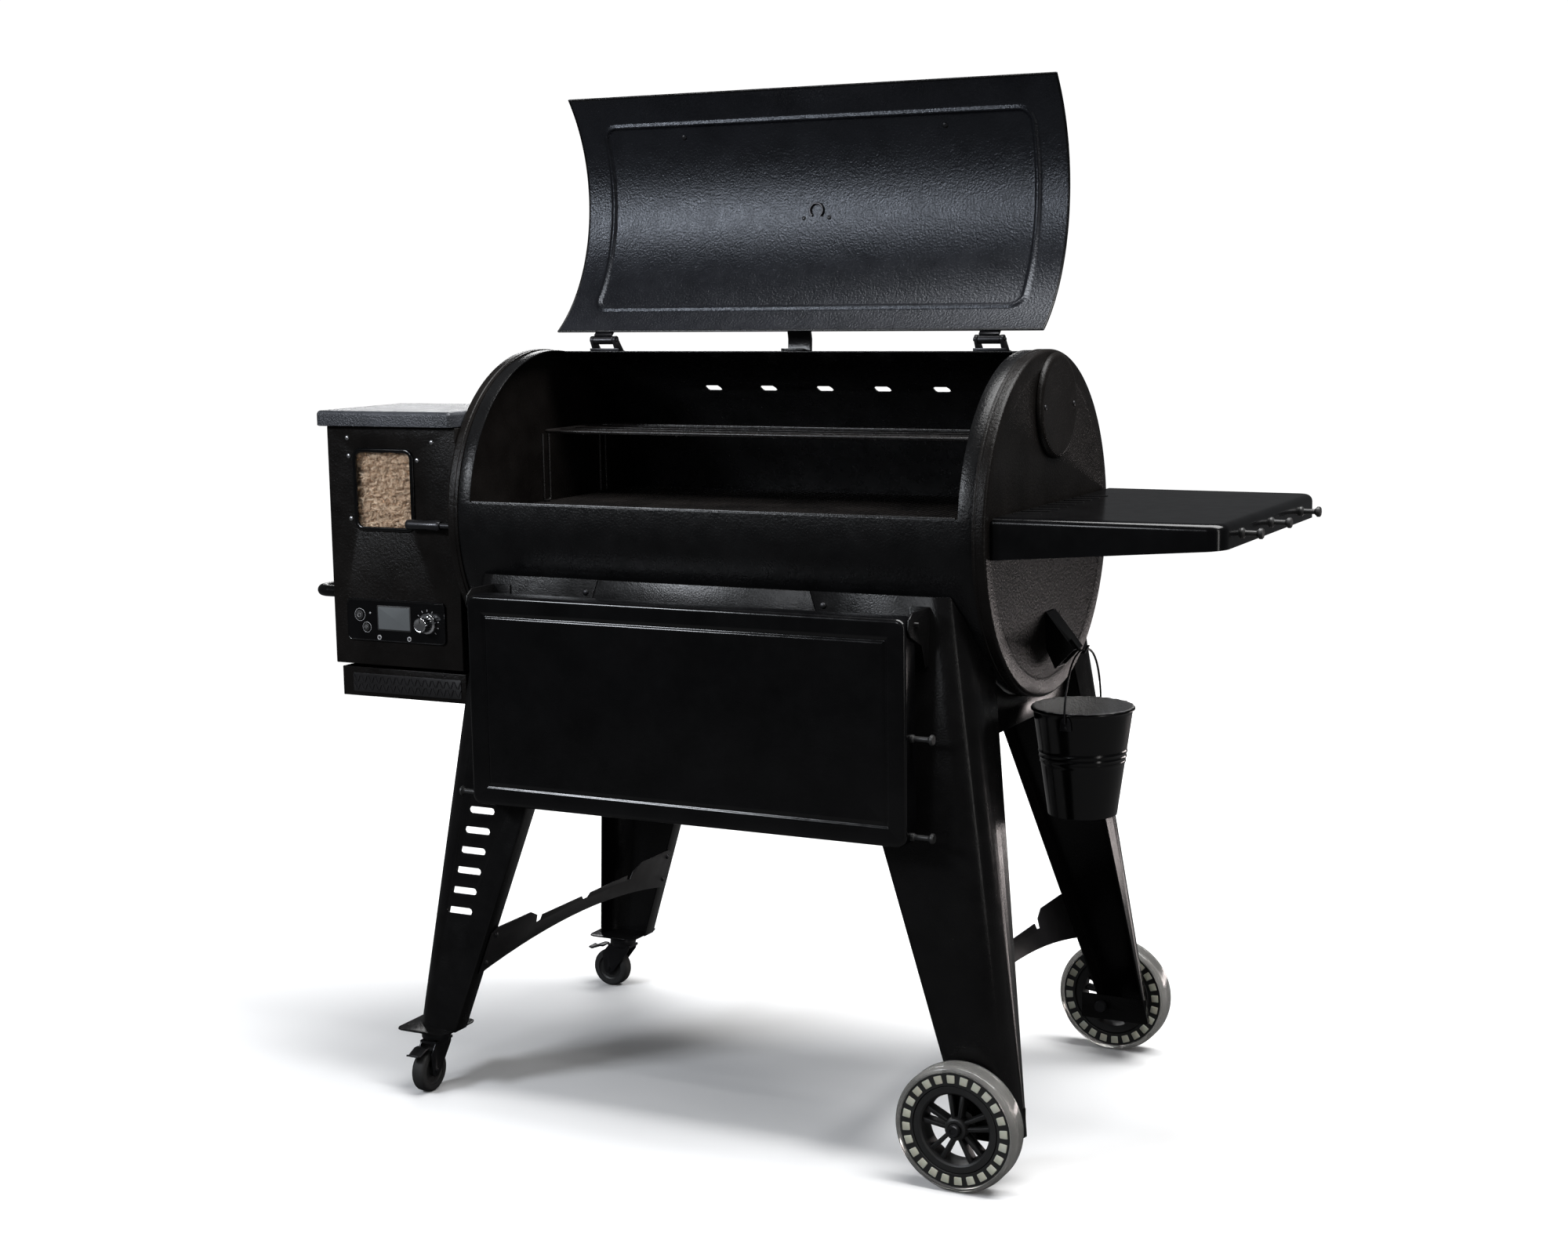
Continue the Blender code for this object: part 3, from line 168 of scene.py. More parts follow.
def make_finishes():
    """Every finish by its short name; relief layers are (depth in metres, strength, scale, detail)."""
    return {
        # Orange-peel powder coat: rounded lumps about 2 mm apart over a finer grain
        "coat": Finish("orange_peel_coat", "powder_coat", (0.0028, 0.0028, 0.003), rough=(0.24, 0.32),
            Specular_IOR_Level=0.17).layered((0.001, 0.5, 240, 2), (0.0005, 0.5, 520, 2)),
        # The lid's finish is the barrel's powder coat again, made lighter and bluer, with stronger blue-tinted
        # reflections: a painted sheen for the lid's highlights
        "lid_coat_painted_sheen": Finish("lid_coat_painted_sheen", "powder_coat", (0.0045, 0.0048, 0.0062), rough=(0.27, 0.35),
            Specular_IOR_Level=0.38, Specular_Tint=(0.86, 0.91, 1.0, 1)).layered((0.0013, 0.6, 260, 2),
            (0.0006, 0.5, 560, 2)),
        "grain": Finish("grained_coat", "powder_coat", (0.004, 0.0034, 0.0031), rough=(0.26, 0.36),
            Specular_IOR_Level=0.13).layered((0.0011, 0.6, 200, 3), (0.0006, 0.6, 560, 2)),
        "satin": Finish("satin_coat", "powder_coat", (0.0028, 0.0027, 0.0028), rough=(0.2, 0.28),
            Specular_IOR_Level=0.18).layered((0.0005, 0.5, 330, 3)),
        "flat": Finish("folded_coat", "powder_coat", (0.0075, 0.007, 0.0075), rough=(0.36, 0.46),
            Specular_IOR_Level=0.4).layered((0.0004, 0.5, 600, 3)),
        "gloss": Finish("gloss_enamel", "gloss_enamel", (0.001, 0.001, 0.0012), rough=(0.13, 0.2),
            Specular_IOR_Level=0.32).layered((0.0002, 0.3, 120, 2)),
        "hammer": Finish("hammered_coat", "hammered_coat", (0.026, 0.028, 0.033), (0.05, 0.053, 0.061),
            rough=(0.3, 0.42), Metallic=0.25,
            Specular_IOR_Level=0.45).layered((0.0008, 0.7, 330, 2, "TexVoronoi"),
            (0.0003, 0.4, 900, 2)),
        "porcelain": Finish("porcelain_coat", "porcelain", (0.0045, 0.0042, 0.0042), (0.012, 0.0105, 0.01),
            rough=(0.2, 0.34), Specular_IOR_Level=0.35).layered((0.0004, 0.5, 700, 3)),
        "steel": Finish("brushed_steel", "steel", (0.34, 0.34, 0.35), (0.46, 0.46, 0.47), rough=(0.26, 0.42),
            Metallic=1.0, Anisotropic=0.4).layered((0.0001, 0.4, 1400, 2)),
        "dark_steel": Finish("blackened_steel", "steel", (0.02, 0.02, 0.022), (0.045, 0.045, 0.048),
            rough=(0.28, 0.42), Metallic=0.8).layered((0.0002, 0.4, 800, 2)),
        "foil": Finish("crinkled_foil", "steel", (0.8, 0.79, 0.78), (0.95, 0.94, 0.93), rough=(0.3, 0.48),
            Metallic=0.2).layered((0.003, 0.9, 90, 4), (0.0015, 0.8, 320, 3, "TexVoronoi")),
        "chrome": Finish("chrome", "chrome", (0.62, 0.63, 0.65), (0.72, 0.73, 0.75), rough=(0.06, 0.11),
            Metallic=1.0).layered((0.00005, 0.3, 500, 2)),
        "plastic": Finish("moulded_plastic", "black_plastic", (0.01, 0.01, 0.01),
            rough=(0.38, 0.5)).layered((0.00025, 0.6, 1500, 2)),
        "print": Finish("printed_grey", "black_plastic", (0.42, 0.42, 0.43), (0.5, 0.5, 0.51),
            rough=(0.45, 0.55)).layered((0.00005, 0.3, 2500, 2)),
        "screen": Finish("display", "black_plastic", (0.115, 0.122, 0.125), (0.14, 0.15, 0.155),
            rough=(0.1, 0.16), Coat_Weight=0.6,
            Coat_Roughness=0.05).layered((0.00008, 0.3, 900, 1, "TexVoronoi")),
        "rubber": Finish("rubber", "rubber", (0.014, 0.014, 0.014),
            rough=(0.6, 0.75)).layered((0.0003, 0.6, 900, 3)),
        "clear": Finish("clear_tyre", "clear_tyre", (0.66, 0.65, 0.62), (0.84, 0.83, 0.8), rough=(0.08, 0.24),
            IOR=1.36, Transmission_Weight=0.88).layered((0.0006, 0.4, 110, 3)),
        "cream": Finish("cream_blocks", "clear_tyre", (0.6, 0.56, 0.44), (0.8, 0.76, 0.63),
            rough=(0.4, 0.6), Subsurface_Weight=0.15).layered((0.0004, 0.5, 500, 3)),
        "glass": Finish("window_pane", "window_glass", (0.97, 0.96, 0.95), (1.0, 0.99, 0.98),
            rough=(0.01, 0.03), IOR=1.45, Transmission_Weight=1.0, Alpha=0.3).layered((0.00004, 0.2, 30, 1)),
        "wood": Finish("wood_pellets", "window_glass", (0.33, 0.18, 0.09), (0.97, 0.78, 0.58),
            rough=(0.55, 0.75), cloud=(150, 6)).layered((0.0006, 0.8, 1200, 4)),
    }


FINISH = make_finishes()


# Surfaces


def grid(points, around=False, along=False, keep=None, caps=()):
    """Quads over points[i, j]. `around` joins the last row to the first, `along` the last column
    to the first; `keep` says which cells stay; `caps` fills the rows given by their numbers."""
    rows, columns = points.shape[:2]
    index = np.arange(rows * columns).reshape(rows, columns)
    filled = [index[row] for row in caps]
    if around:
        index = np.vstack([index, index[:1]])
    if along:
        index = np.hstack([index, index[:, :1]])
    quads = np.stack([index[:-1, :-1], index[1:, :-1], index[1:, 1:], index[:-1, 1:]], -1)
    quads = quads[keep] if keep is not None else quads.reshape(-1, 4)
    used, back = np.unique(quads, return_inverse=True)
    if keep is not None:
        return points.reshape(-1, 3)[used], back.reshape(-1, 4), []
    return points.reshape(-1, 3), quads, filled


def put(name, parts, finish, body="frame", instead=(), wall=0.0, edge=0.0, segments=2, angle=35):
    """Piece from its parts, walled and rounded at its edges where asked, riding on its body."""
    points, faces, count = [], [], 0
    for part_points, quads, filled in parts:
        points.append(part_points)
        faces += (quads + count).tolist() + [(ring + count).tolist() for ring in filled]
        count += len(part_points)
    mesh = bpy.data.meshes.new(name)
    mesh.from_pydata((np.vstack(points) + (MIDDLE, 0, 0)).tolist(), [], faces)
    bm = bmesh.new()
    bm.from_mesh(mesh)
    bmesh.ops.remove_doubles(bm, verts=bm.verts, dist=1e-6)
    bmesh.ops.recalc_face_normals(bm, faces=bm.faces)
    bm.to_mesh(mesh)
    bm.free()
    return place(name, mesh, finish, body, instead, wall, edge, segments, angle)


def place(name, mesh, finish, body, instead, wall=0.0, edge=0.0, segments=2, angle=35):
    obj = bpy.data.objects.new(name, mesh)
    bpy.context.scene.collection.objects.link(obj)
    if wall:
        solid = obj.modifiers.new("wall", "SOLIDIFY")
        solid.thickness, solid.offset, solid.use_even_offset = wall, 0, True
    if edge:
        bevel = obj.modifiers.new("edge", "BEVEL")
        bevel.width, bevel.segments, bevel.limit_method = edge, segments, "ANGLE"
        bevel.angle_limit = radians(40)
        bevel.use_clamp_overlap = True
    if obj.modifiers:
        graph = bpy.context.evaluated_depsgraph_get()
        mesh = bpy.data.meshes.new_from_object(obj.evaluated_get(graph))
        obj.modifiers.clear()
        obj.data = mesh
    mesh.materials.clear()
    mesh.materials.append(FINISH[finish].material)
    mesh.shade_smooth()
    mesh.set_sharp_from_angle(angle=radians(angle))
    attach(obj, body)
    if instead:
        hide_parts(*instead)
    return obj


def refined(node, finish, edge=0.0006, angle=30):
    """Merged copy of a folded-sheet node, its flat faces joined and its edges slightly rounded."""
    bm = bmesh.new()
    bm.from_mesh(NODES[node].data)
    bmesh.ops.remove_doubles(bm, verts=bm.verts, dist=1e-6)
    bmesh.ops.dissolve_limit(bm, angle_limit=radians(0.5), verts=bm.verts, edges=bm.edges)
    mesh = bpy.data.meshes.new(f"{node}_fine")
    bm.to_mesh(mesh)
    bm.free()
    return place(f"{node}_fine", mesh, finish, BODY[node], (node,), edge=edge, angle=angle)


def on_axis(axis, along, across, up):
    """Points whose first measure runs along `axis`; the others run over the two remaining axes."""
    order = {"X": (along, across, up), "Y": (across, along, up), "Z": (across, up, along)}[axis]
    return np.stack(np.broadcast_arrays(*order), -1)


def revolve(profile, axis, centre, steps=64, closed=False, ripple=None, side=1):
    """Profile of (radius, along) turned about a line; `ripple` scales the radius by angle."""
    radius, along = np.array(profile, float).T * [[1], [side]]
    turn = np.radians(np.arange(steps) * 360 / steps)[:, None]
    radius = radius * (ripple(turn) if ripple else 1)
    points = on_axis(axis, along + 0 * turn, centre[0] + radius * np.cos(turn), centre[1] + radius * np.sin(turn))
    return grid(points, around=True, along=closed)


def fillet(corners, radius, steps=6, closed=True):
    """Each corner becomes a curve a(1-t)^2 + 2ct(1-t) + bt^2 between points `radius` along its sides."""
    corners = np.array(corners, float)
    before, after = np.roll(corners, 1, 0), np.roll(corners, -1, 0)
    reach = np.broadcast_to(radius, len(corners))[:, None]
    first = corners + (before - corners) / np.linalg.norm(before - corners, axis=1)[:, None] * reach
    last = corners + (after - corners) / np.linalg.norm(after - corners, axis=1)[:, None] * reach
    t = np.linspace(0, 1, steps + 1)[None, :, None]
    curve = first[:, None] * (1 - t) ** 2 + 2 * corners[:, None] * t * (1 - t) + last[:, None] * t ** 2
    if closed:
        return curve.reshape(-1, corners.shape[1])
    return np.concatenate([corners[:1], curve[1:-1].reshape(-1, corners.shape[1]), corners[-1:]])


def inward_of(outline):
    """Mitred step inward at each corner: the sum of both sides' normals, scaled to move each side by one."""
    ahead = np.roll(outline, -1, 0) - outline
    ahead /= np.linalg.norm(ahead, axis=1)[:, None] + 1e-12
    behind = np.roll(ahead, 1, 0)
    area = np.sum(outline[:, 0] * np.roll(outline[:, 1], -1) - np.roll(outline[:, 0], -1) * outline[:, 1])
    inward = (ahead + behind)[:, ::-1] * (-1, 1) * np.sign(area)
    return inward / (np.maximum(np.linalg.norm(inward, axis=1) ** 2, 0.3)[:, None] / 2)


def nested(outline, profile, axis):
    """Any outline drawn in step by step, one ring for each (inset, height), the last one filled."""
    outline = np.array(outline, float)
    inset, height = np.array(profile, float).T[:, :, None]
    flat = outline[None] + inward_of(outline)[None] * inset[..., None]
    return grid(on_axis(axis, height + 0 * flat[..., 0], flat[..., 0], flat[..., 1]), along=True, caps=(-1,))


def slab(outline, axis, low, high, edge=0.0008, rings=3):
    """Outline carried along `axis`, drawn in by r(1 - sin t) while it rises by r(1 - cos t) at each end."""
    outline = np.array(outline, float)
    inward = inward_of(outline)
    t = np.linspace(0, pi / 2, rings)
    inset = np.concatenate([edge * (1 - np.sin(t)), edge * (1 - np.sin(t[::-1]))])
    level = np.concatenate([low + edge * (1 - np.cos(t)), high - edge * (1 - np.cos(t[::-1]))])
    flat = outline[None] + inward[None] * inset[:, None, None]
    return grid(on_axis(axis, level[:, None], flat[..., 0], flat[..., 1]), along=True, caps=(0, -1))


def tube(path, radius, normal, sides=14, closed=False):
    """Ring of `radius` carried along a path; `normal` is square to the path's plane."""
    path = np.array(path, float)
    if closed:
        ahead = np.roll(path, -1, 0) - np.roll(path, 1, 0)
    else:
        ahead = np.gradient(path, axis=0)
    ahead /= np.linalg.norm(ahead, axis=1)[:, None]
    side = np.cross(ahead, normal)
    side /= np.linalg.norm(side, axis=1)[:, None]
    over = np.cross(side, ahead)
    turn = np.linspace(0, 2 * pi, sides, endpoint=False)[None, :, None]
    radius = np.broadcast_to(radius, len(path))[:, None, None]
    points = path[:, None] + radius * (np.cos(turn) * side[:, None] + np.sin(turn) * over[:, None])
    return grid(points, around=closed, along=True, caps=() if closed else (0, -1))


def quarter(x, y, across, over, steps=6):
    """Quarter round from edge to face: points (x + a (1 - cos t), y + o (1 - sin t))."""
    t = np.linspace(0, pi / 2, steps)
    return list(zip(x + across * (1 - np.cos(t)), y + over * (1 - np.sin(t))))


def offset(start, *profile):
    """Profile with its second measure counted from `start`."""
    return [(inset, start + height) for inset, height in profile]


def corners(x0, z0, x1, z1):
    return [(x0, z0), (x1, z0), (x1, z1), (x0, z1)]


def spoke(turn):
    """Unit steps outward and across at an angle."""
    return np.array([cos(turn), sin(turn)]), np.array([-sin(turn), cos(turn)])


def rod(first, last, radius, sides=8):
    return tube(np.linspace(first, last, 3), radius, (0, 0, 1), sides)


def pressed(centre, half, radius, profile, axis, corner=8, fill=True):
    """Nested rounded rectangles from the rim to the middle, one for each (inset, height)."""
    inset, height = np.array(profile, float).T[:, :, None]
    quarter = np.linspace(0, pi / 2, corner + 1)
    turn = (quarter[None] + np.arange(4)[:, None] * pi / 2).ravel()
    right = np.repeat([1, -1, -1, 1], corner + 1)
    up = np.repeat([1, 1, -1, -1], corner + 1)
    r = np.maximum(radius - inset, 0.0006)
    across = centre[0] + right * (half[0] - inset - r) + r * np.cos(turn)
    over = centre[1] + up * (half[1] - inset - r) + r * np.sin(turn)
    return grid(on_axis(axis, height + 0 * across, across, over), along=True, caps=(-1,) if fill else ())


def dome(place_at, direction, radius, height=None, sides=16):
    """Button head: rings of radius r cos t at height h sin t over a short straight skirt."""
    height = height or radius * 0.55
    t = np.linspace(0, pi / 2, 5)
    ring = np.concatenate([[radius], radius * np.cos(t)])
    lift = np.concatenate([[-0.0006], height * (0.25 + 0.75 * np.sin(t))])
    out = np.array(direction, float) / np.linalg.norm(direction)
    side = np.cross(out, (0.31, 0.52, 0.79))
    side /= np.linalg.norm(side)
    over = np.cross(out, side)
    turn = np.linspace(0, 2 * pi, sides, endpoint=False)[None, :, None]
    points = (np.array(place_at, float) + lift[:, None, None] * out
              + ring[:, None, None] * (np.cos(turn) * side + np.sin(turn) * over))
    return grid(points, along=True, caps=(0,))


def opened(part):
    """Turn a part drawn on the closed lid about the hinge to where it stands open."""
    points, quads, filled = part
    turn = radians(-LID_OPEN)
    y, z = points[:, 1] - HINGE[0], points[:, 2] - HINGE[1]
    turned = np.stack([points[:, 0], HINGE[0] + y * cos(turn) - z * sin(turn),
                       HINGE[1] + y * sin(turn) + z * cos(turn)], -1)
    return turned, quads, filled


def wrapped(radius, degrees, x):
    """Point on a cylinder about the barrel's middle line, at an angle up from the front."""
    angle = np.radians(degrees)
    return np.stack(np.broadcast_arrays(x, -radius * np.cos(angle), DRUM_Z + radius * np.sin(angle)), -1)


# Barrel


def make_barrel():
    """Rolled sheet on a grid of angle and length; cells in the opening and the slots are left out."""
    slot_angles = 180 - np.degrees(np.arcsin((SLOT_Z + np.array([-0.005, 0, 0.005]) - DRUM_Z) / DRUM_R))
    angles = np.unique(np.concatenate([np.linspace(0, 360, 121)[:-1], OPENING, slot_angles]).round(6))
    slots = np.arange(-2, 3) * SLOT_PITCH
    xs = np.concatenate([np.linspace(-SHELL_END, SHELL_END, 13), [-OPENING_HALF, OPENING_HALF],
                         *(slots[:, None] + [-0.015, -0.011, 0.011, 0.015])])
    xs = np.unique(xs.round(6))
    points = wrapped(DRUM_R - SHEET / 2, angles[:, None], xs[None])
    middle = (angles[:, None] + np.append(angles[1:], 360)[:, None]) / 2
    centre = (xs[1:] + xs[:-1])[None] / 2
    open_mouth = (middle > OPENING[0]) & (middle < OPENING[1]) & (abs(centre) < OPENING_HALF)
    near = np.abs(centre[..., None] - slots).min(-1)
    open_slot = (middle > slot_angles.min()) & (middle < slot_angles.max()) & (near < 0.015)
    ends = np.isclose(np.abs(xs[:, None] - slots).min(-1), 0.015)
    low_edge = np.isclose(angles, slot_angles[0], atol=1e-4)[:, None] & ends[None]
    high_edge = np.isclose(angles, slot_angles[2], atol=1e-4)[:, None] & ends[None]
    points[low_edge] += (0, 0, 0.0022)
    points[high_edge] -= (0, 0, 0.0022)
    shell = grid(points, around=True, keep=~(open_mouth | open_slot))
    put("barrel_sheet", [shell], "coat", instead=("drum_shell",), wall=SHEET - 0.0004, edge=0.0007)
    hem = np.linspace(-OPENING_HALF + 0.004, OPENING_HALF - 0.004, 24)
    lip = [tube(wrapped(DRUM_R - 0.0022, OPENING[0] + 0.1, hem), 0.0021, (0, 0, 1), 10)]
    put("opening_hem", lip, "satin")


def make_ends():
    """Turned caps: a flat face with a shallow step, a rounded shoulder and a rolled bead at the seam."""
    face, rim = CAP_END, CAP_R
    shoulder = quarter(rim, face, -0.0055, -0.0055, 8)[::-1]
    profile = [(0, face - 0.0012), (rim - 0.034, face - 0.0012), (rim - 0.031, face - 0.0005), (rim - 0.028, face),
               *shoulder, (rim, 0.485), (rim - 0.0011, 0.4838), (rim - 0.0011, 0.482), (rim, 0.4808),
               (rim, SHELL_END + 0.0005), (rim - SHEET, SHELL_END + 0.0005), (rim - SHEET, face - SHEET - 0.002),
               (0, face - SHEET - 0.002)]
    for side, name in ((-1, "left"), (1, "right")):
        part = revolve(profile, "X", (0, DRUM_Z), 160, side=side)
        put(f"end_plate_{name}", [part], "grain", instead=(f"end_cap_{name}",), angle=25)
    low, high = span("vent_cover")
    centre, (radius, _) = rect(low, high, 1, 2)
    bulge = quarter(radius, high[0] - 0.0005, -0.01, -0.008)
    cover = [(radius, face + 0.0004), *bulge, (radius - 0.016, high[0] - 0.0014), (0, high[0] - 0.0014)]
    put("vent_lid", [revolve(cover, "X", centre, 96)], "grain", instead=("vent_cover",), angle=28)
    heads = [dome((high[0] - 0.0014, centre[0] + dy, centre[1]), (1, 0, 0), 0.0045) for dy in (-0.067, 0.067)]
    put("vent_screws", heads, "dark_steel")


def make_lid():
    """Rolled lid: radius R + h exp(-(d/w)^2), where d is the distance to a rounded rectangle."""
    angles = np.unique(np.concatenate([np.arange(4, 12, 1.0), np.arange(12, 23, 0.32), np.arange(23, 79, 1.2),
                                       np.arange(79, 91, 0.32), np.linspace(91, LID_ARC[1], 8)]))
    half = np.concatenate([np.arange(0.004, 0.375, 0.008), np.arange(0.378, 0.432, 0.0016),
                           np.linspace(0.436, LID_HALF, 7)])
    xs = np.concatenate([-half[::-1], half])
    run = np.radians(angles - sum(BEAD) / 2) * LID_R
    reach = radians(BEAD[1] - BEAD[0]) / 2 * LID_R
    corner = 0.024
    qx = np.abs(xs)[None] - (BEAD_HALF - corner)
    qy = np.abs(run)[:, None] - (reach - corner)
    distance = (np.hypot(np.maximum(qx, 0), np.maximum(qy, 0)) + np.minimum(np.maximum(qx, qy), 0) - corner)
    bead = 0.004 * np.exp(-(distance / 0.0038) ** 2)
    panel = opened(grid(wrapped(LID_R - bead, angles[:, None], xs[None])))
    # The lid panel takes the lighter, bluer copy of the coat: painted sheen
    put("lid_panel", [panel], "lid_coat_painted_sheen", "lid", ("lid",), wall=0.0022, edge=0.0008)
    rims = []
    for angle, radius in ((LID_ARC[0] + 0.35, LID_R), (LID_ARC[1] - 0.35, LID_R)):
        path = wrapped(radius, angle, np.linspace(-LID_HALF + 0.002, LID_HALF - 0.002, 32))
        rims.append(opened(tube(path, 0.0022, (0, 0, 1), 10)))
    for side in (-1, 1):
        path = wrapped(LID_R, np.linspace(LID_ARC[0] + 0.4, LID_ARC[1] - 0.4, 72), side * (LID_HALF - 0.0022))
        rims.append(opened(tube(path, 0.0022, (1, 0, 0), 10)))
    put("lid_rolled_rim", rims, "coat", "lid")
    straps = []
    for x in (-HINGE_X, HINGE_X):
        strap = fillet(corners(-0.012, 1.299, 0.046, 1.3042), 0.001, 2)
        straps.append(opened(slab(strap, "X", x - 0.018, x + 0.018)))
        knuckle = [(0.0037, x - 0.0195), (0.007, x - 0.0195), (0.0075, x - 0.019), (0.0075, x + 0.019),
                   (0.007, x + 0.0195), (0.0037, x + 0.0195)]
        straps.append(opened(revolve(knuckle, "X", HINGE, 24, closed=True)))
    put("lid_straps", straps, "dark_steel", "lid")
    heads = []
    for degrees, x in ((21.0, -0.255), (21.0, 0.255), (51.2, -0.025), (51.2, 0.025)):
        at = opened((wrapped(LID_R - 0.0008, degrees, x)[None], None, None))[0][0]
        middle = opened((wrapped(0, degrees, x)[None], None, None))[0][0]
        heads.append(dome(at, middle - at, 0.0052 if degrees < 30 else 0.0038))
    put("lid_screws", heads, "dark_steel", "lid")
    turn = np.linspace(radians(-50), radians(230), 28)
    lift = np.degrees(0.0125 * np.sin(turn) / LID_R)
    loop = wrapped(LID_R - 0.0035, 48.6 - lift, 0.0125 * np.cos(turn))
    put("lid_probe_clip", [opened(tube(loop, 0.0022, (0.01, 0.66, -0.75), 10))], "dark_steel", "lid")


def make_lid_handle():
    """Bar with rounded ends, collars and two stand-offs across the outside of the lid."""
    bar_angle = radians(HANDLE_ANGLE)
    radius = LID_R + 0.0565
    centre = (-radius * cos(bar_angle), DRUM_Z + radius * sin(bar_angle))
    t = np.linspace(0, pi / 2, 7)
    nose = [(0.0125 * sin(a), -0.315 + 0.006 * (1 - cos(a))) for a in t]
    profile = nose + [(0.0125, -0.27), (0.0125, -0.22), (0.0125, 0.22), (0.0125, 0.27)]
    profile += [(r, -x) for r, x in nose[::-1]]
    put("lid_bar", [opened(revolve(profile, "X", centre, 32))], "steel", "lid", ("lid_handle",))
    posts = []
    for x in (-0.255, 0.255):
        steps = np.linspace(0, 1, 9)
        path = wrapped(LID_R + 0.0016 + steps * (radius - LID_R - 0.004), HANDLE_ANGLE, x)
        posts.append(opened(tube(path, 0.0085 + 0.0028 * (2 * steps - 1) ** 4, (1, 0, 0), 20)))
    put("lid_posts", posts, "dark_steel", "lid")


# Inside


def make_grates():
    """Welded wire grates: bars front to back over four cross bars."""
    for name in ("cooking_grate_left", "cooking_grate_right"):
        low, high = span(name)
        xs = np.linspace(low[0] + 0.003, high[0] - 0.003, 34)
        top, under, y0, y1 = high[2] - 0.0028, low[2] + 0.003, low[1] + 0.003, high[1] - 0.003
        parts = [rod((x, y0, top), (x, y1, top), 0.0027) for x in xs]
        parts += [rod((low[0], y, under), (high[0], y, under), 0.003) for y in np.linspace(y0, y1, 4)]
        put(f"{name}_wires", parts, "porcelain", instead=(name,))
    low, high = span("upper_rack")
    top = high[2] - 0.0035
    x0, x1, y0, y1 = low[0] + 0.004, high[0] - 0.004, low[1] + 0.004, high[1] - 0.004
    rail = fillet([(x0, y0, top), (x1, y0, top), (x1, y1, top), (x0, y1, top)], 0.012, 5)
    parts = [tube(rail, 0.0034, (0, 0, 1), 12, closed=True)]
    parts += [rod((x0, y, top + 0.001), (x1, y, top + 0.001), 0.0016) for y in np.linspace(y0, y1, 5)[1:-1]]
    parts += [rod((x, y0, top - 0.003), (x, y1, top - 0.003), 0.0024) for x in np.arange(-2, 3) * 0.19 + 0.025]
    for x in (x0, x1):
        for y in (y0 + 0.003, y1 - 0.003):
            foot = fillet([(x, y - 0.01, top - 0.004), (x, y - 0.01, 1.0275), (x, y + 0.01, 1.0275),
                           (x, y + 0.01, top - 0.004)], 0.006, 5, closed=False)
            parts.append(tube(foot, 0.0022, (1, 0, 0), 10))
    put("warming_rack", parts, "porcelain", instead=("upper_rack",))


def make_inner_parts():
    """Fire pot, tray, auger and fan, out of sight from most sides."""
    for node in ("fire_pot", "grease_tray", "auger_tube", "auger", "auger_motor", "hopper_funnel"):
        refined(node, "steel", 0.0004)
    refined("fan", "plastic", 0.0004)
    refined("broiler_slide", "dark_steel", 0.0004)


# Stand


def make_stand():
    """Folded legs, aprons, side panels, braces and brackets, with their bolts."""
    for end in ("front", "rear"):
        for side in ("left", "right"):
            refined(f"leg_{end}_{side}", "satin", 0.0009, angle=32)
        refined(f"apron_{end}", "satin", 0.0007)
    for side in ("left", "right"):
        refined(f"side_panel_{side}", "satin", 0.0007)
        refined(f"leg_brace_{side}", "flat", 0.0007)
        refined(f"shelf_bracket_{side}", "satin", 0.0007)
        refined(f"lid_hinge_{side}", "dark_steel", 0.0005)
    refined("lid_stop", "satin", 0.0006)
    refined("grease_spout", "satin", 0.0006)
    face = 0.283
    heads = []
    for end in (-1, 1):
        for x in (-0.222, 0.222, -0.375, 0.375):
            for z in (0.862, 0.898):
                if abs(x) < 0.3 or end > 0:
                    heads.append(dome((x, end * (face + 0.08 * (0.92 - z) + 0.0003), z), (0, end, 0.08), 0.0052))
    for side in (-1, 1):
        for y in (-0.312, -0.302, 0.302, 0.312):
            z = 0.286 if abs(y) < 0.305 else 0.236
            x = side * (0.475 - 0.345 * (z - 0.12) - 0.0032)
            heads.append(dome((x, y, z), (-side, 0, 0), 0.005))
    put("stand_bolts", heads, "dark_steel")


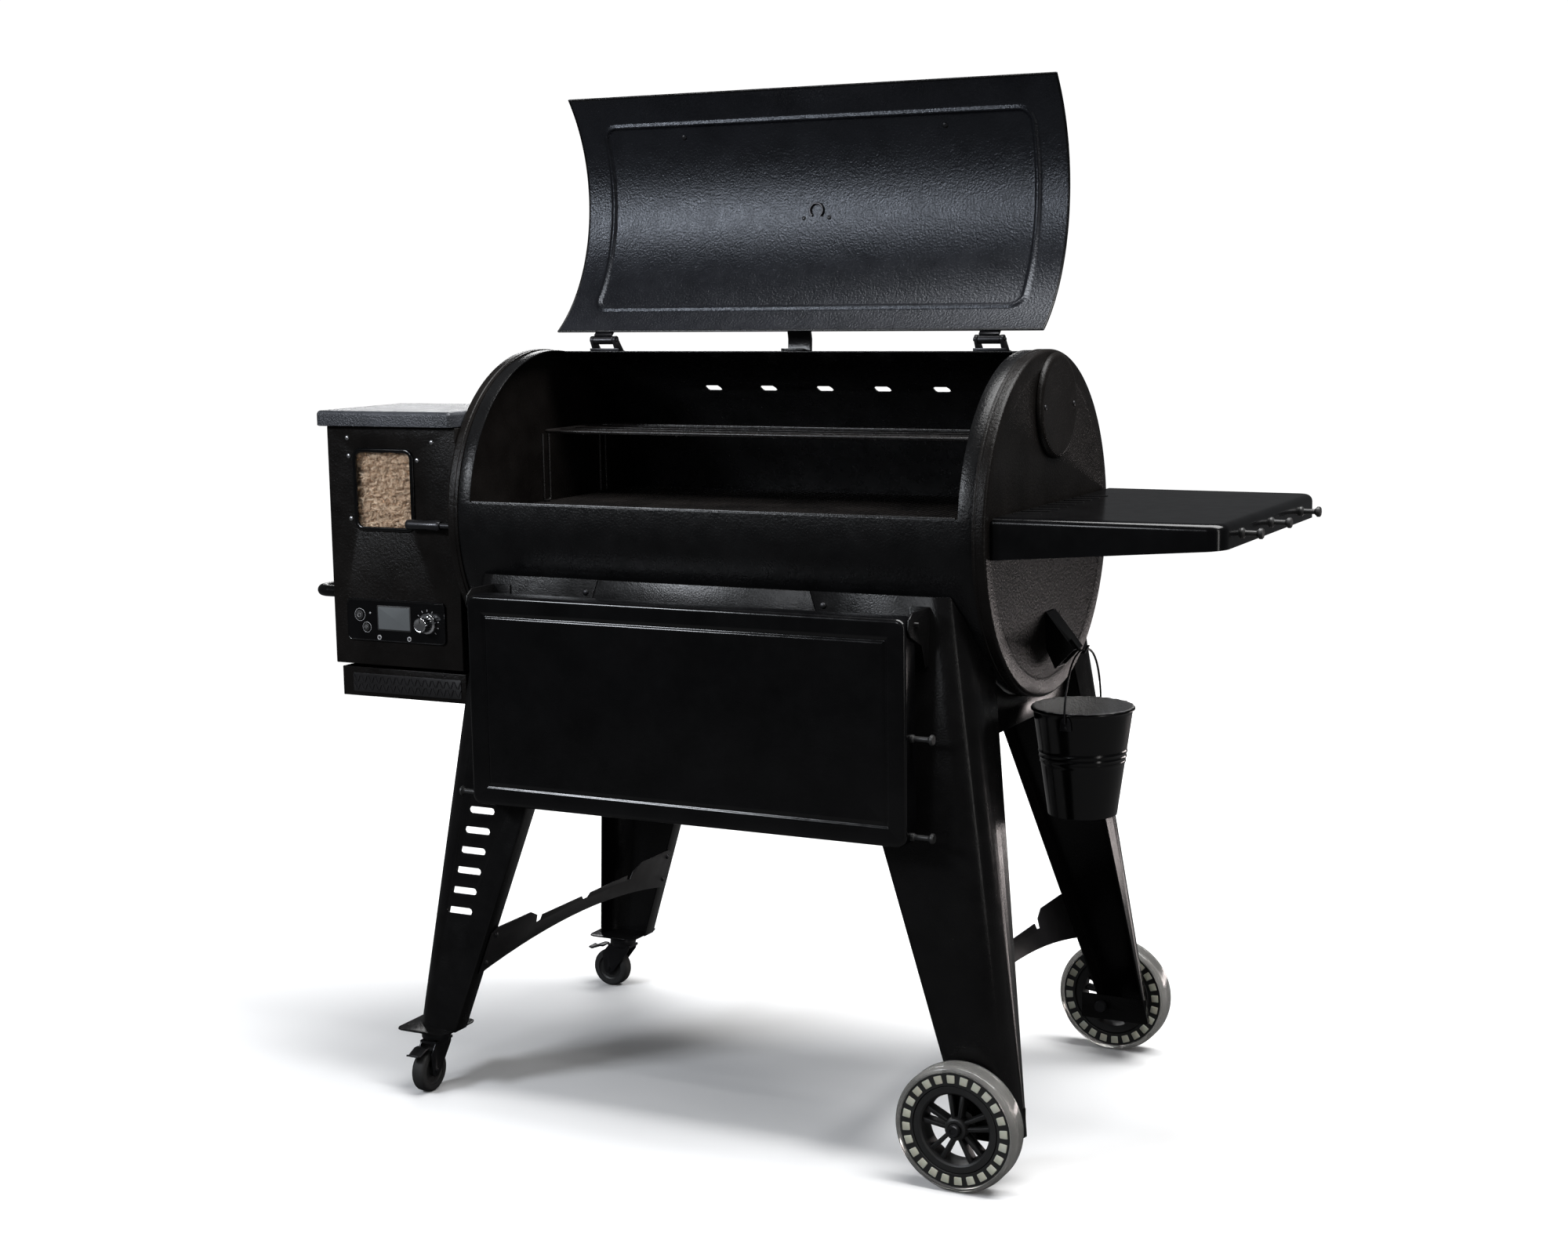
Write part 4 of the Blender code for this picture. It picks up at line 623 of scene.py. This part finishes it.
def make_wheels():
    """Ten-spoke wheel: turned rim and boss, paired spokes, square blocks set in a clear tyre."""
    for end, name in ((-1, "front"), (1, "rear")):
        low, high = span(f"tyre_{name}")
        centre, (_, radius) = rect(low, high)
        inner, outer = sorted((abs(low[1]), abs(high[1])))
        body = f"wheel_{name}"
        rim = offset(inner, (0.0548, 0.012), (0.056, 0.004), (0.068, 0.0025), (0.0705, 0.004))
        rim += offset(outer, (0.0705, -0.004), (0.0692, -0.0024), (0.06, -0.0026), (0.0572, -0.005),
                      (0.0556, -0.011), (0.0548, -0.019))
        boss = offset(inner, (0.0066, 0), (0.018, 0), (0.0185, 0.012))
        boss += offset(outer, (0.019, -0.01), (0.0172, -0.0045), (0.015, -0.0032), (0.0118, -0.0032),
                       (0.0112, -0.005), (0.0066, -0.005))
        parts = [revolve(shape, "Y", centre, 72, closed=True, side=end) for shape in (rim, boss)]
        for pair in range(5):
            for lean in (-1, 1):
                along, across = spoke(radians(90 + 72 * pair))
                across = across * lean
                outline = [along * 0.016 + across * 0.002, along * 0.016 + across * 0.0085,
                           along * 0.0555 + across * 0.015, along * 0.056 + across * 0.0068]
                outline = fillet(np.array(outline) + centre, 0.002, 3)
                span_y = sorted((end * (inner + 0.014), end * (outer - 0.0085)))
                parts.append(slab(outline, "Y", *span_y, 0.0022))
        put(f"wheel_{name}_hub", parts, "plastic", body, (f"wheel_{name}",), angle=30)
        tread = quarter(radius, outer, -0.008, -0.008) + [(0.0928, outer - 0.0004), (0.0922, outer - 0.0024)]
        tread += [(r, inner + outer - y) for r, y in tread[::-1]]
        part = revolve(tread, "Y", centre, 120, closed=True, side=end)
        put(f"tyre_{name}_clear", [part], "clear", body, (f"tyre_{name}",), angle=30)
        ladder = offset(inner, (0.0709, 0.003), (0.0716, 0.002), (0.0912, 0.002), (0.0919, 0.003))
        ladder += offset(outer, (0.0919, -0.003), (0.0912, -0.002), (0.0716, -0.002), (0.0709, -0.003))
        part = revolve(ladder, "Y", centre, 96, closed=True, side=end)
        put(f"tyre_{name}_ladder", [part], "plastic", body)
        blocks = []
        for k in range(24):
            along, across = spoke(radians(15 * k + 4))
            outline = [along * (0.082 + u) + across * v for u, v in
                       ((-0.0066, -0.0062), (0.0066, -0.007), (0.0066, 0.007), (-0.0066, 0.0062))]
            outline = fillet(np.array(outline) + centre, 0.0018, 3)
            blocks.append(slab(outline, "Y", *sorted((end * (inner + 0.0012), end * (outer - 0.0012))), 0.001))
        put(f"tyre_{name}_blocks", blocks, "cream", body)
        bolt = [(0, 0.286), (0.01, 0.286), (0.0105, 0.2885), (0.0105, 0.294), (0.006, 0.2945)]
        bolt += offset(outer, (0.006, -0.002), (0.0105, -0.002), (0.0105, 0.003), (0.0085, 0.006),
                       (0.0055, 0.006), (0.005, 0.0042), (0, 0.0042))
        part = revolve(bolt, "Y", centre, 24, side=end)
        put(f"axle_{name}_bolt", [part], "dark_steel", instead=(f"axle_{name}",))


def make_casters():
    """Casters: turned treads with a hub disc; pressed forks, races and pedals."""
    for name in ("front", "rear"):
        refined(f"caster_fork_{name}", "dark_steel", 0.0005)
        refined(f"caster_brake_{name}", "dark_steel", 0.0005)
        low, high = span(f"caster_wheel_{name}")
        size = high - low
        axis = "X" if size[0] < size[1] else "Y"
        k = 0 if axis == "X" else 1
        radius, wide, middle = size[2] / 2, size[k] / 2, (low[k] + high[k]) / 2
        centre, _ = rect(low, high, 1 - k)
        edge = quarter(radius, wide, -0.006, -0.006)
        tread = edge + [(0.0255, wide), (0.025, wide - 0.0015), (0.025, -wide + 0.0015), (0.0255, -wide)]
        tread += [(r, -a) for r, a in edge[::-1]]
        part = revolve(offset(middle, *tread), axis, centre, 64, closed=True)
        put(f"caster_{name}_tread", [part], "rubber", f"caster_wheel_{name}", (f"caster_wheel_{name}",), angle=30)
        hub = offset(-wide, (0.0039, 0.0005), (0.009, 0.0005), (0.01, 0.0035), (0.022, 0.0035), (0.0249, 0.0015))
        hub += [(r, -a) for r, a in hub[::-1]]
        part = revolve(offset(middle, *hub), axis, centre, 48, closed=True)
        put(f"caster_{name}_hub", [part], "plastic", f"caster_wheel_{name}", angle=30)


# Shelves


def make_front_shelf():
    """Pressed door-like table: rounded rim, a raised bead round its field, T-headed pegs."""
    low, high = span("front_shelf")
    front, back = low[1], high[1]
    half_x, half_z = 0.404, (high[2] - low[2]) / 2
    centre = (0, (high[2] + low[2]) / 2)
    w = 0.0009
    rim = quarter(w, front + w, 0.006, 0.006, 7)
    ridge = [(0.028 + 0.012 * s, front + w + 0.0004 + 0.0024 * (0.5 - 0.5 * cos(2 * pi * s)))
             for s in np.linspace(0, 1, 13)]
    profile = offset(back, (0.012, -w), (0.004, -w), (w, -0.003)) + rim
    profile += offset(front + w, (0.0085, 0), (0.02, 0), (0.0272, 0.0004)) + ridge
    profile += offset(front + w, (0.0408, 0.0004), (0.05, 0.0008), (0.1, 0.0008))
    plate = pressed(centre, (half_x, half_z), 0.016, profile, "Y", 10)
    put("front_shelf_plate", [plate], "gloss", "front_shelf", ("front_shelf",), wall=0.0016, angle=40)
    pegs = []
    for side, z in ((1, 0.708), (1, 0.552), (-1, 0.552)):
        shape = offset(half_x, (0, -0.002), (0.0065, -0.002), (0.0065, 0.004), (0.0045, 0.006), (0.0042, 0.028),
                       (0.0055, 0.031), (0.0085, 0.0335), (0.0085, 0.0365), (0.007, 0.038), (0, 0.038))
        pegs.append(revolve(shape, "X", (-0.352, z), 20, side=side))
    put("front_shelf_pegs", pegs, "plastic", "front_shelf", angle=30)


def make_side_shelf():
    """Pressed side table: flat top, rounded rim, skirt that tapers outward, pegs and slots."""
    low, high = span("side_shelf")
    top, outer = high[2], 0.87
    near = low[0]
    w = 0.0009
    bend = pi / 2 * np.linspace(0, 1, 10)
    r = 0.028
    front_arc = np.stack([outer - r + r * np.sin(bend), low[1] + r - r * np.cos(bend)], -1)
    back_arc = np.stack([outer - r + r * np.cos(bend), high[1] - r + r * np.sin(bend)], -1)
    outline = np.concatenate([[(near, low[1])], front_arc, back_arc, [(near, high[1])]])
    rim = quarter(w, top - w, 0.011, -0.011, 9)
    profile = [(0.006, top - 0.06), (w, top - 0.06), (w, top - 0.036), *rim, (0.02, top - w)]
    points, quads, filled = nested(outline, profile, "Z")
    drop = 0.067 - 0.029 * (points[:, 0] - near) / (outer - near)
    points[:, 2] = np.where(points[:, 2] < top - 0.05, top - drop, points[:, 2])
    put("side_shelf_plate", [(points, quads, filled)], "gloss", instead=("side_shelf",), wall=0.0016, angle=40)
    pegs = []
    for y in (-0.172, -0.008, 0.174):
        shape = offset(outer, (0, -0.002), (0.0085, -0.002), (0.008, 0.003), (0.0045, 0.006), (0.0042, 0.023),
                       (0.0085, 0.0275), (0.0085, 0.0315), (0.007, 0.033), (0, 0.033))
        pegs.append(revolve(shape, "X", (y, 1.026), 20))
    put("side_shelf_pegs", pegs, "plastic", angle=30)
    slots = []
    for y in np.linspace(-0.205, 0.105, 9):
        outline = fillet([(0.515, y - 0.004), (0.56, y + 0.01), (0.558, y + 0.017), (0.513, y + 0.003)], 0.003, 4)
        slots.append(slab(outline, "Z", top - 0.001, top + 0.0012, 0.001))
    put("side_shelf_ribs", slots, "satin")


# Hopper


def make_hopper():
    """Folded box with a pressed lid, framed window, handle, screws and a chevron grille."""
    refined("hopper_body", "grain", 0.0016)
    refined("hopper_base", "grain", 0.0012)
    low, high = span("hopper_lid")
    top = high[2]
    half = ((high[0] - low[0]) / 2, (0.0 - low[1] - 0.007) / 2)
    centre = ((high[0] + low[0]) / 2, low[1] + half[1])
    w = 0.0008
    rim = quarter(w, top - w, 0.007, -0.007, 8)
    profile = [(0.004, low[2] + w), (w, low[2] + 0.002), *rim, (0.012, top - w), (0.05, top - w)]
    plate = pressed(centre, half, 0.008, profile, "Z", 6)
    put("hopper_lid_plate", [plate], "hammer", "hopper_lid", ("hopper_lid",), wall=0.0014, angle=40)
    barrel = [(0, -0.76), (0.006, -0.76), (0.0065, -0.7595), (0.0065, -0.5305), (0.006, -0.53), (0, -0.53)]
    put("hopper_lid_barrel", [revolve(barrel, "X", (-0.003, 1.176), 20)], "dark_steel", "hopper_lid")
    front = span("hopper_body")[0][1]
    low, high = span("hopper_window")
    middle, half = rect(low, high)
    bezel = offset(front, (-0.0062, -0.0001), (-0.0062, -0.0016), (-0.0048, -0.003), (-0.0012, -0.0034), (0.0008, -0.0022),
                   (0.001, 0.0004))
    put("window_bezel", [pressed(middle, half, 0.012, bezel, "Y", 8, fill=False)], "gloss", wall=0.0008, angle=45)
    NODES["hopper_window"].data.materials.clear()
    NODES["hopper_window"].data.materials.append(FINISH["glass"].material)
    make_pellets(middle, half, front)
    heads = [dome((x, front - 0.0002, z), (0, -1, 0), 0.0042) for x, z in
             ((-0.733, 1.147), (-0.551, 1.142), (-0.731, 1.115), (-0.583, 1.11), (-0.731, 1.003), (-0.583, 1.000))]
    put("hopper_screws", heads, "steel")
    low, high = span("hopper_handle")
    y0, y1, z = low[1] + 0.0105, high[1] - 0.0105, (low[2] + high[2]) / 2
    path = fillet([(high[0], y0, z), (low[0] + 0.0105, y0, z), (low[0] + 0.0105, y1, z), (high[0], y1, z)],
                  0.03, 14, closed=False)
    parts = [tube(path, 0.0105, (0, 0, 1), 24)]
    for y in (y0, y1):
        collar = [(0, high[0]), (0.015, high[0]), (0.015, high[0] - 0.003), (0.012, high[0] - 0.007),
                  (0, high[0] - 0.007)]
        parts.append(revolve(collar, "X", (y, z), 28))
    put("carry_handle", parts, "satin", instead=("hopper_handle",), angle=40)
    refined("power_inlet", "plastic", 0.0004)
    low, high = span("vent_grille")
    plate = fillet(corners(low[0], low[2], high[0], high[2]), 0.003, 3)
    parts = [slab(plate, "Y", high[1] - 0.0009, high[1], 0.0003)]
    count = 30
    pitch = (high[0] - low[0]) / count
    for k in range(count):
        x, lean = low[0] + (k + 0.5) * pitch, (1 if k % 2 else -1) * pitch * 0.36
        for z0 in (low[2] + 0.0035, (low[2] + high[2]) / 2 + 0.0008):
            z1 = z0 + (high[2] - low[2]) / 2 - 0.0045
            outline = [(x - lean - 0.0013, z0), (x - lean + 0.0013, z0),
                       (x + lean + 0.0013, z1), (x + lean - 0.0013, z1)]
            parts.append(slab(outline, "Y", low[1], high[1] - 0.0005, 0.0003, 2))
    put("vent_grille_slats", parts, "flat", instead=("vent_grille",))


def make_pellets(middle, half, front):
    """Heap of short rods behind the pane: each is a ring of six points at four stations, turned at random."""
    rng = np.random.default_rng(7)
    count = 900
    reach_x, reach_z = half[0] + 0.006, half[1] + 0.006
    centre = np.stack([middle[0] + rng.uniform(-reach_x, reach_x, count),
                       front + 0.0085 + rng.uniform(0, 0.01, count),
                       middle[1] + rng.uniform(-reach_z, reach_z, count)], -1)
    ahead = np.stack([rng.normal(size=count), rng.normal(size=count) * 0.28, rng.normal(size=count)], -1)
    ahead /= np.linalg.norm(ahead, axis=1)[:, None]
    side = np.cross(ahead, (0, 1, 0))
    side /= np.linalg.norm(side, axis=1)[:, None]
    over = np.cross(side, ahead)
    length = rng.uniform(0.0036, 0.0075, count)
    station = np.array([-1, -0.86, 0.86, 1.0])
    girth = np.array([0.0014, 0.0021, 0.0021, 0.0014])
    turn = np.arange(6) * pi / 3
    ring = np.cos(turn)[:, None] * side[:, None, None] + np.sin(turn)[:, None] * over[:, None, None]
    reach = station[None, :, None, None] * length[:, None, None, None]
    points = centre[:, None, None] + ahead[:, None, None] * reach + ring * girth[None, :, None, None]
    flat = points.reshape(-1, 3)
    index = np.arange(24).reshape(4, 6)
    turned = np.hstack([index, index[:, :1]])
    quads = np.stack([turned[:-1, :-1], turned[1:, :-1], turned[1:, 1:], turned[:-1, 1:]], -1).reshape(-1, 4)
    start = np.arange(count)[:, None, None] * 24
    caps = np.stack([index[0], index[-1]])
    all_quads = (quads[None] + start).reshape(-1, 4)
    all_caps = (caps[None] + start).reshape(-1, 6)
    u = np.linspace(-1, 1, 40)
    bed = on_axis("Y", front + 0.0175 + 0.0015 * np.sin(u[:, None] * 41) * np.cos(u[None] * 37),
                  middle[0] + reach_x * 1.05 * u[:, None], middle[1] + reach_z * 1.05 * u[None])
    put("pellets", [(flat, all_quads, list(all_caps))], "wood", angle=50)
    put("pellet_bed", [grid(bed)], "wood", wall=0.004, angle=60)


def make_controls():
    """Control panel with a display, printed ticks, push buttons and a fluted dial."""
    low, high = span("control_panel")
    face, back = low[1], high[1]
    middle, half = rect(low, high)
    rim = [(0, back)] + offset(face, (0, 0.0018), (0.0006, 0.0006), (0.0016, 0), (0.0026, 0.0004),
                               (0.0034, 0.0012), (0.03, 0.0012))
    outer = pressed(middle, half, 0.01, rim, "Y", 8)
    ring = pressed(middle, half, 0.01, [(0.0, back), (0.034, back)], "Y", 8)
    put("panel_face", [outer, ring], "gloss", instead=("control_panel",), angle=40)
    level = face + 0.0012

    def window(x0, z0, x1, z1, radius, thick, name, finish):
        outline = fillet(corners(x0, z0, x1, z1), radius, 4)
        put(name, [slab(outline, "Y", level - thick, level + 0.0004, 0.0003)], finish)

    window(-0.6802, 0.8042, -0.607, 0.8493, 0.003, 0.0009, "display_frame", "plastic")
    window(-0.6777, 0.8067, -0.6095, 0.8468, 0.002, 0.0012, "display_glass", "screen")
    dial_low, dial_high = span("dial")
    dial, _ = rect(dial_low, dial_high)
    ticks = []
    for k in range(11):
        along, across = spoke(radians(225 - 27 * k))
        outline = [np.array(dial) + along * r + across * s for r, s in
                   ((0.0215, -0.0005), (0.025, -0.0005), (0.025, 0.0005), (0.0215, 0.0005))]
        ticks.append(slab(outline, "Y", level - 0.0004, level + 0.0002, 0.0001, 2))
    turn = np.linspace(0, 2 * pi, 40, endpoint=False)
    sockets = [(-0.677, 0.7913), (-0.6119, 0.7913)]
    rings = [(rect(*span(node))[0], size, 0.00035)
             for node, size in (("power_button", 0.0112), ("prime_button", 0.0092))]
    for at, size, wire in rings + [(at, 0.0036, 0.0009) for at in sockets]:
        path = on_axis("Y", level - 0.0001, at[0] + size * np.cos(turn), at[1] + size * np.sin(turn))
        ticks.append(tube(path, wire, (0, 1, 0), 8, closed=True))
    put("panel_print", ticks, "print")
    put("probe_sockets", [dome((x, level - 0.0001, z), (0, -1, 0), 0.0028, 0.0008) for x, z in sockets], "plastic")
    put("status_lamp", [dome((-0.6956, level, 0.8346), (0, -1, 0), 0.0018, 0.0012)], "print")
    base, tip = dial_high[1], dial_low[1]
    skirt = offset(base, (0, 0), (0.0185, 0), (0.0185, -0.0045), (0.0178, -0.0058), (0.0152, -0.007),
                   (0.014, -0.008), (0, -0.008))
    grip = offset(base, (0, -0.006), (0.014, -0.006), (0.014, -0.008))
    grip += offset(tip, (0.0134, 0.003), (0.0126, 0.0008), (0.0112, 0), (0.01, 0.0005), (0, 0.0009))
    parts = [revolve(skirt, "Y", dial, 72),
             revolve(grip, "Y", dial, 144, ripple=lambda t: 1 + 0.035 * np.cos(18 * t))]
    put("dial_knob", parts, "chrome", "dial", ("dial",), angle=40)
    mark = corners(dial[0] - 0.0006, dial[1] + 0.004, dial[0] + 0.0006, dial[1] + 0.011)
    put("dial_mark", [slab(mark, "Y", tip - 0.0002, tip + 0.002, 0.0002, 2)], "plastic", "dial")
    travel = 0.0016    # a little over the 1.5 mm that each button moves
    for node, icon in (("power_button", True), ("prime_button", False)):
        low, high = span(node)
        at, (radius, _) = rect(low, high)
        shape = [(0, level - travel), (radius, level - travel),
                 (radius, low[1] + 0.0006), (radius - 0.0002, low[1] + 0.0002),
                 (radius - 0.001, low[1]), (0, low[1] + 0.0002)]
        collar = [(radius + 0.0003, level + 0.0004), (radius + 0.0003, level - travel - 0.0001),
                  (radius + 0.0006, level - travel - 0.0004), (radius + 0.0012, level - travel),
                  (radius + 0.0014, level + 0.0004)]
        put(f"{node}_collar", [revolve(collar, "Y", at, 48, closed=True)], "gloss")
        put(f"{node}_cap", [revolve(shape, "Y", at, 40)], "plastic", node, (node,))
        arc = np.radians(np.linspace(130, 410, 24) if icon else np.arange(180, -1, -30))
        size = radius * 0.42
        path = on_axis("Y", low[1], at[0] + size * np.cos(arc), at[1] + size * np.sin(arc))
        marks = [tube(path, 0.0003, (0, 1, 0), 6)]
        stem = [(at[0], low[1], at[1] + size * k) for k in ((0.2, 0.8, 1.4) if icon else (-0.9, -0.4, 0.2))]
        marks.append(tube(stem, 0.0003, (0, 1, 0), 6))
        put(f"{node}_mark", marks, "print", node)


# Grease bucket


def make_bucket():
    """Tapered pail with three pressed ribs and a rolled rim, a crinkled liner and a wire bail."""
    low, high = span("bucket")
    centre, _ = rect(low, high, 0, 1)
    floor, rim = low[2], high[2]
    base_r, rim_r = 0.057, 0.086
    height = rim - floor
    steps = np.linspace(0.02, 0.955, 60)
    radius = base_r + (rim_r - 0.0032 - base_r) * steps
    for level in (0.5, 0.545, 0.59):
        radius = radius + 0.0014 * np.exp(-((steps - level) / 0.011) ** 2)
    wall = list(zip(radius, floor + height * steps))
    t = np.linspace(-pi * 0.6, pi * 0.9, 12)
    roll = [(rim_r - 0.0026 + 0.0025 * cos(a), rim - 0.0026 + 0.0025 * sin(a)) for a in t]
    inside = [(rim_r - 0.0055, rim - 0.006), (base_r - 0.0016, floor + 0.006), (0, floor + 0.006)]
    profile = [(0, floor + 0.004), (base_r - 0.003, floor + 0.004), (base_r - 0.0026, floor), (base_r, floor)] + wall
    put("pail", [revolve(profile + roll + inside, "Z", centre, 96)], "gloss", "bucket", ("bucket",), angle=40)
    ears = []
    ear_z = rim - 0.014
    for end in (-1, 1):
        turn = np.linspace(0, pi, 10)
        outline = [(centre[0] - 0.01, ear_z - 0.014), (centre[0] + 0.01, ear_z - 0.014),
                   *zip(centre[0] + 0.009 * np.cos(turn), ear_z + 0.009 * np.sin(turn))]
        near, far = sorted((centre[1] + end * 0.0808, centre[1] + end * 0.0838))
        ears.append(slab(outline, "Y", near, far, 0.0006))
        ears.append(dome((centre[0], centre[1] + end * 0.0838, ear_z - 0.0085), (0, end, 0), 0.0028))
    put("pail_ears", ears, "dark_steel", "bucket")
    turn = np.radians(np.arange(180) * 2)[:, None]
    level = np.linspace(0, 1, 26)[None]
    crinkle = (0.0011 * np.sin(turn * 17 + 3 * np.sin(level * 9)) * np.cos(level * 21 + turn * 5)
               + 0.0007 * np.sin(turn * 41 + level * 15))
    r = np.concatenate([(base_r - 0.006 + (rim_r - base_r - 0.001) * level + crinkle * (1 - level ** 8)),
                        rim_r - 0.0045 + 0.0 * turn, rim_r - 0.0022 + 0.0006 * np.sin(turn * 37)], 1)
    z = np.concatenate([floor + 0.01 + (height - 0.0115) * level + 0 * turn,
                        rim + 0.0012 + 0.0004 * np.sin(turn * 29),
                        rim + 0.0006 + 0.0006 * np.sin(turn * 23)], 1)
    liner = on_axis("Z", z, centre[0] + r * np.cos(turn), centre[1] + r * np.sin(turn))
    foot = on_axis("Z", floor + 0.0105 + 0 * turn, centre[0], centre[1])
    put("pail_liner", [grid(np.concatenate([foot, liner], 1), around=True)], "foil", "bucket",
        wall=0.0004, angle=60)
    low, high = span("bail")
    top, foot_z = high[2] - 0.0018, ear_z
    turn = np.linspace(0, pi, 41)
    reach = 0.089
    y = -reach * np.sign(np.cos(turn)) * np.abs(np.cos(turn)) ** 0.8
    arch = np.stack([np.full(41, centre[0]), centre[1] + y, foot_z + (top - foot_z) * np.sin(turn)], -1)
    path = np.concatenate([[(centre[0], centre[1] - 0.0775, foot_z), (centre[0], centre[1] - 0.085, foot_z)], arch,
                           [(centre[0], centre[1] + 0.085, foot_z), (centre[0], centre[1] + 0.0775, foot_z)]])
    put("wire_bail", [tube(path, 0.0018, (1, 0, 0), 12)], "dark_steel", "bail", ("bail",), angle=60)


# Studio

FLOOR_R = 4.2


def make_studio():
    """Pale round floor, soft boxes, and a camera at three-quarter height from the right front."""
    turn = np.radians(np.arange(96) * 3.75)[:, None]
    reach = np.array([0.0, 1.0, FLOOR_R])[None]
    verts, quads, _ = grid(on_axis("Z", 0.0, reach * np.cos(turn), reach * np.sin(turn)), around=True)
    floor = bpy.data.meshes.new("floor")
    floor.from_pydata(verts.tolist(), [], quads.tolist())
    ground = bpy.data.objects.new("floor", floor)
    bpy.context.scene.collection.objects.link(ground)
    paper = bpy.data.materials.new("floor_paper")
    paper.use_nodes = True
    shader = paper.node_tree.nodes["Principled BSDF"]
    shader.inputs["Base Color"].default_value = (0.86, 0.86, 0.86, 1)
    shader.inputs["Roughness"].default_value = 0.9
    shader.inputs["Specular IOR Level"].default_value = 0.0
    shader.inputs["Emission Color"].default_value = (1, 1, 1, 1)
    tree = paper.node_tree
    coordinates, length, fade = add(tree, "TexCoord", "VectorMath", "MapRange")
    length.operation = "LENGTH"
    fade.interpolation_type = "SMOOTHSTEP"
    for key, number in zip(("From Min", "From Max", "To Min", "To Max"), (1.4, FLOOR_R * 0.93, 0.0, 1.0)):
        fade.inputs[key].default_value = number
    tree.links.new(coordinates.outputs["Object"], length.inputs[0])
    tree.links.new(length.outputs["Value"], fade.inputs["Value"])
    tree.links.new(fade.outputs["Result"], shader.inputs["Emission Strength"])
    # Bounced light meets a darker floor, so the black finishes keep their depth
    bounce, seen, blend = add(tree, "BsdfDiffuse", "LightPath", "MixShader")
    bounce.inputs["Color"].default_value = (0.09, 0.09, 0.09, 1)
    tree.links.new(seen.outputs["Is Camera Ray"], blend.inputs[0])
    tree.links.new(bounce.outputs[0], blend.inputs[1])
    tree.links.new(shader.outputs[0], blend.inputs[2])
    tree.links.new(blend.outputs[0], tree.nodes["Material Output"].inputs["Surface"])
    floor.materials.append(paper)

    world = bpy.data.worlds.new("studio")
    bpy.context.scene.world = world
    world.use_nodes = True
    tree = world.node_tree
    tree.nodes.clear()
    seen, dim, path, mix, out = add(tree, "Background", "Background", "LightPath", "MixShader", "OutputWorld")
    for sky, colour, strength in ((seen, (1, 1, 1, 1), 1.05), (dim, (0.95, 0.97, 1.0, 1), 0.07)):
        sky.inputs["Color"].default_value = colour
        sky.inputs["Strength"].default_value = strength
    tree.links.new(path.outputs["Is Camera Ray"], mix.inputs[0])
    tree.links.new(dim.outputs[0], mix.inputs[1])
    tree.links.new(seen.outputs[0], mix.inputs[2])
    tree.links.new(mix.outputs[0], out.inputs["Surface"])

    for name, at, aim, size, power, colour in (
            ("overhead_box", (1.3, 0.15, 4.6), (0.1, 0.1, 0.0), (2.6, 4.6), 500, (1, 1, 1)),
            ("left_box", (-1.75, -2.6, 2.3), (0, 0, 1.5), (0.75, 0.5), 58, (0.9, 0.94, 1)),
            ("middle_box", (-0.7, -4.3, 2.6), (0, 0, 1.4), (0.6, 0.8), 22, (0.92, 0.95, 1)),
            ("right_strip", (3.5, -1.6, 1.5), (0.4, -0.2, 0.8), (0.4, 2.6), 16, (1, 0.98, 0.96)),
            ("low_box", (1.75, 2.6, 0.16), (0.4, -0.2, 0.4), (1.3, 0.28), 9, (1, 0.9, 0.88)),
            ("back_strip", (-2.6, 3.6, 2.4), (0, 0, 1.0), (2.4, 0.8), 40, (1, 1, 1))):
        light = bpy.data.lights.new(name, "AREA")
        light.shape, light.size, light.size_y = "RECTANGLE", *size
        light.energy, light.color = power, colour
        obj = bpy.data.objects.new(name, light)
        bpy.context.scene.collection.objects.link(obj)
        obj.visible_camera = False
        obj.location = at
        obj.rotation_euler = (Vector(aim) - Vector(at)).to_track_quat("-Z", "Y").to_euler()
    bpy.context.scene.view_settings.view_transform = "Standard"

    lens = bpy.data.cameras.new("camera")
    lens.lens, lens.sensor_width, lens.clip_end = 53.14, 36.0, 100
    lens.shift_x, lens.shift_y = 0.0021, 0.00015
    camera = bpy.data.objects.new("camera", lens)
    bpy.context.scene.collection.objects.link(camera)
    azimuth, elevation, roll = (radians(a) for a in (27.106, 8.51, -0.874))
    back = Vector((sin(azimuth) * cos(elevation), -cos(azimuth) * cos(elevation),
                   sin(elevation)))
    right = (-back).cross(Vector((0, 0, 1))).normalized()
    up = right.cross(-back)
    right, up = right * cos(roll) + up * sin(roll), up * cos(roll) - right * sin(roll)
    turn = Matrix((right, up, back)).transposed().to_4x4()
    camera.matrix_world = Matrix.Translation((1.8287 + MIDDLE, -3.5728, 1.4115)) @ turn
    bpy.context.scene.camera = camera


for make in (make_studio, make_barrel, make_ends, make_lid, make_lid_handle, make_grates, make_inner_parts,
             make_stand, make_wheels, make_casters, make_front_shelf, make_side_shelf, make_hopper, make_controls,
             make_bucket):
    make()
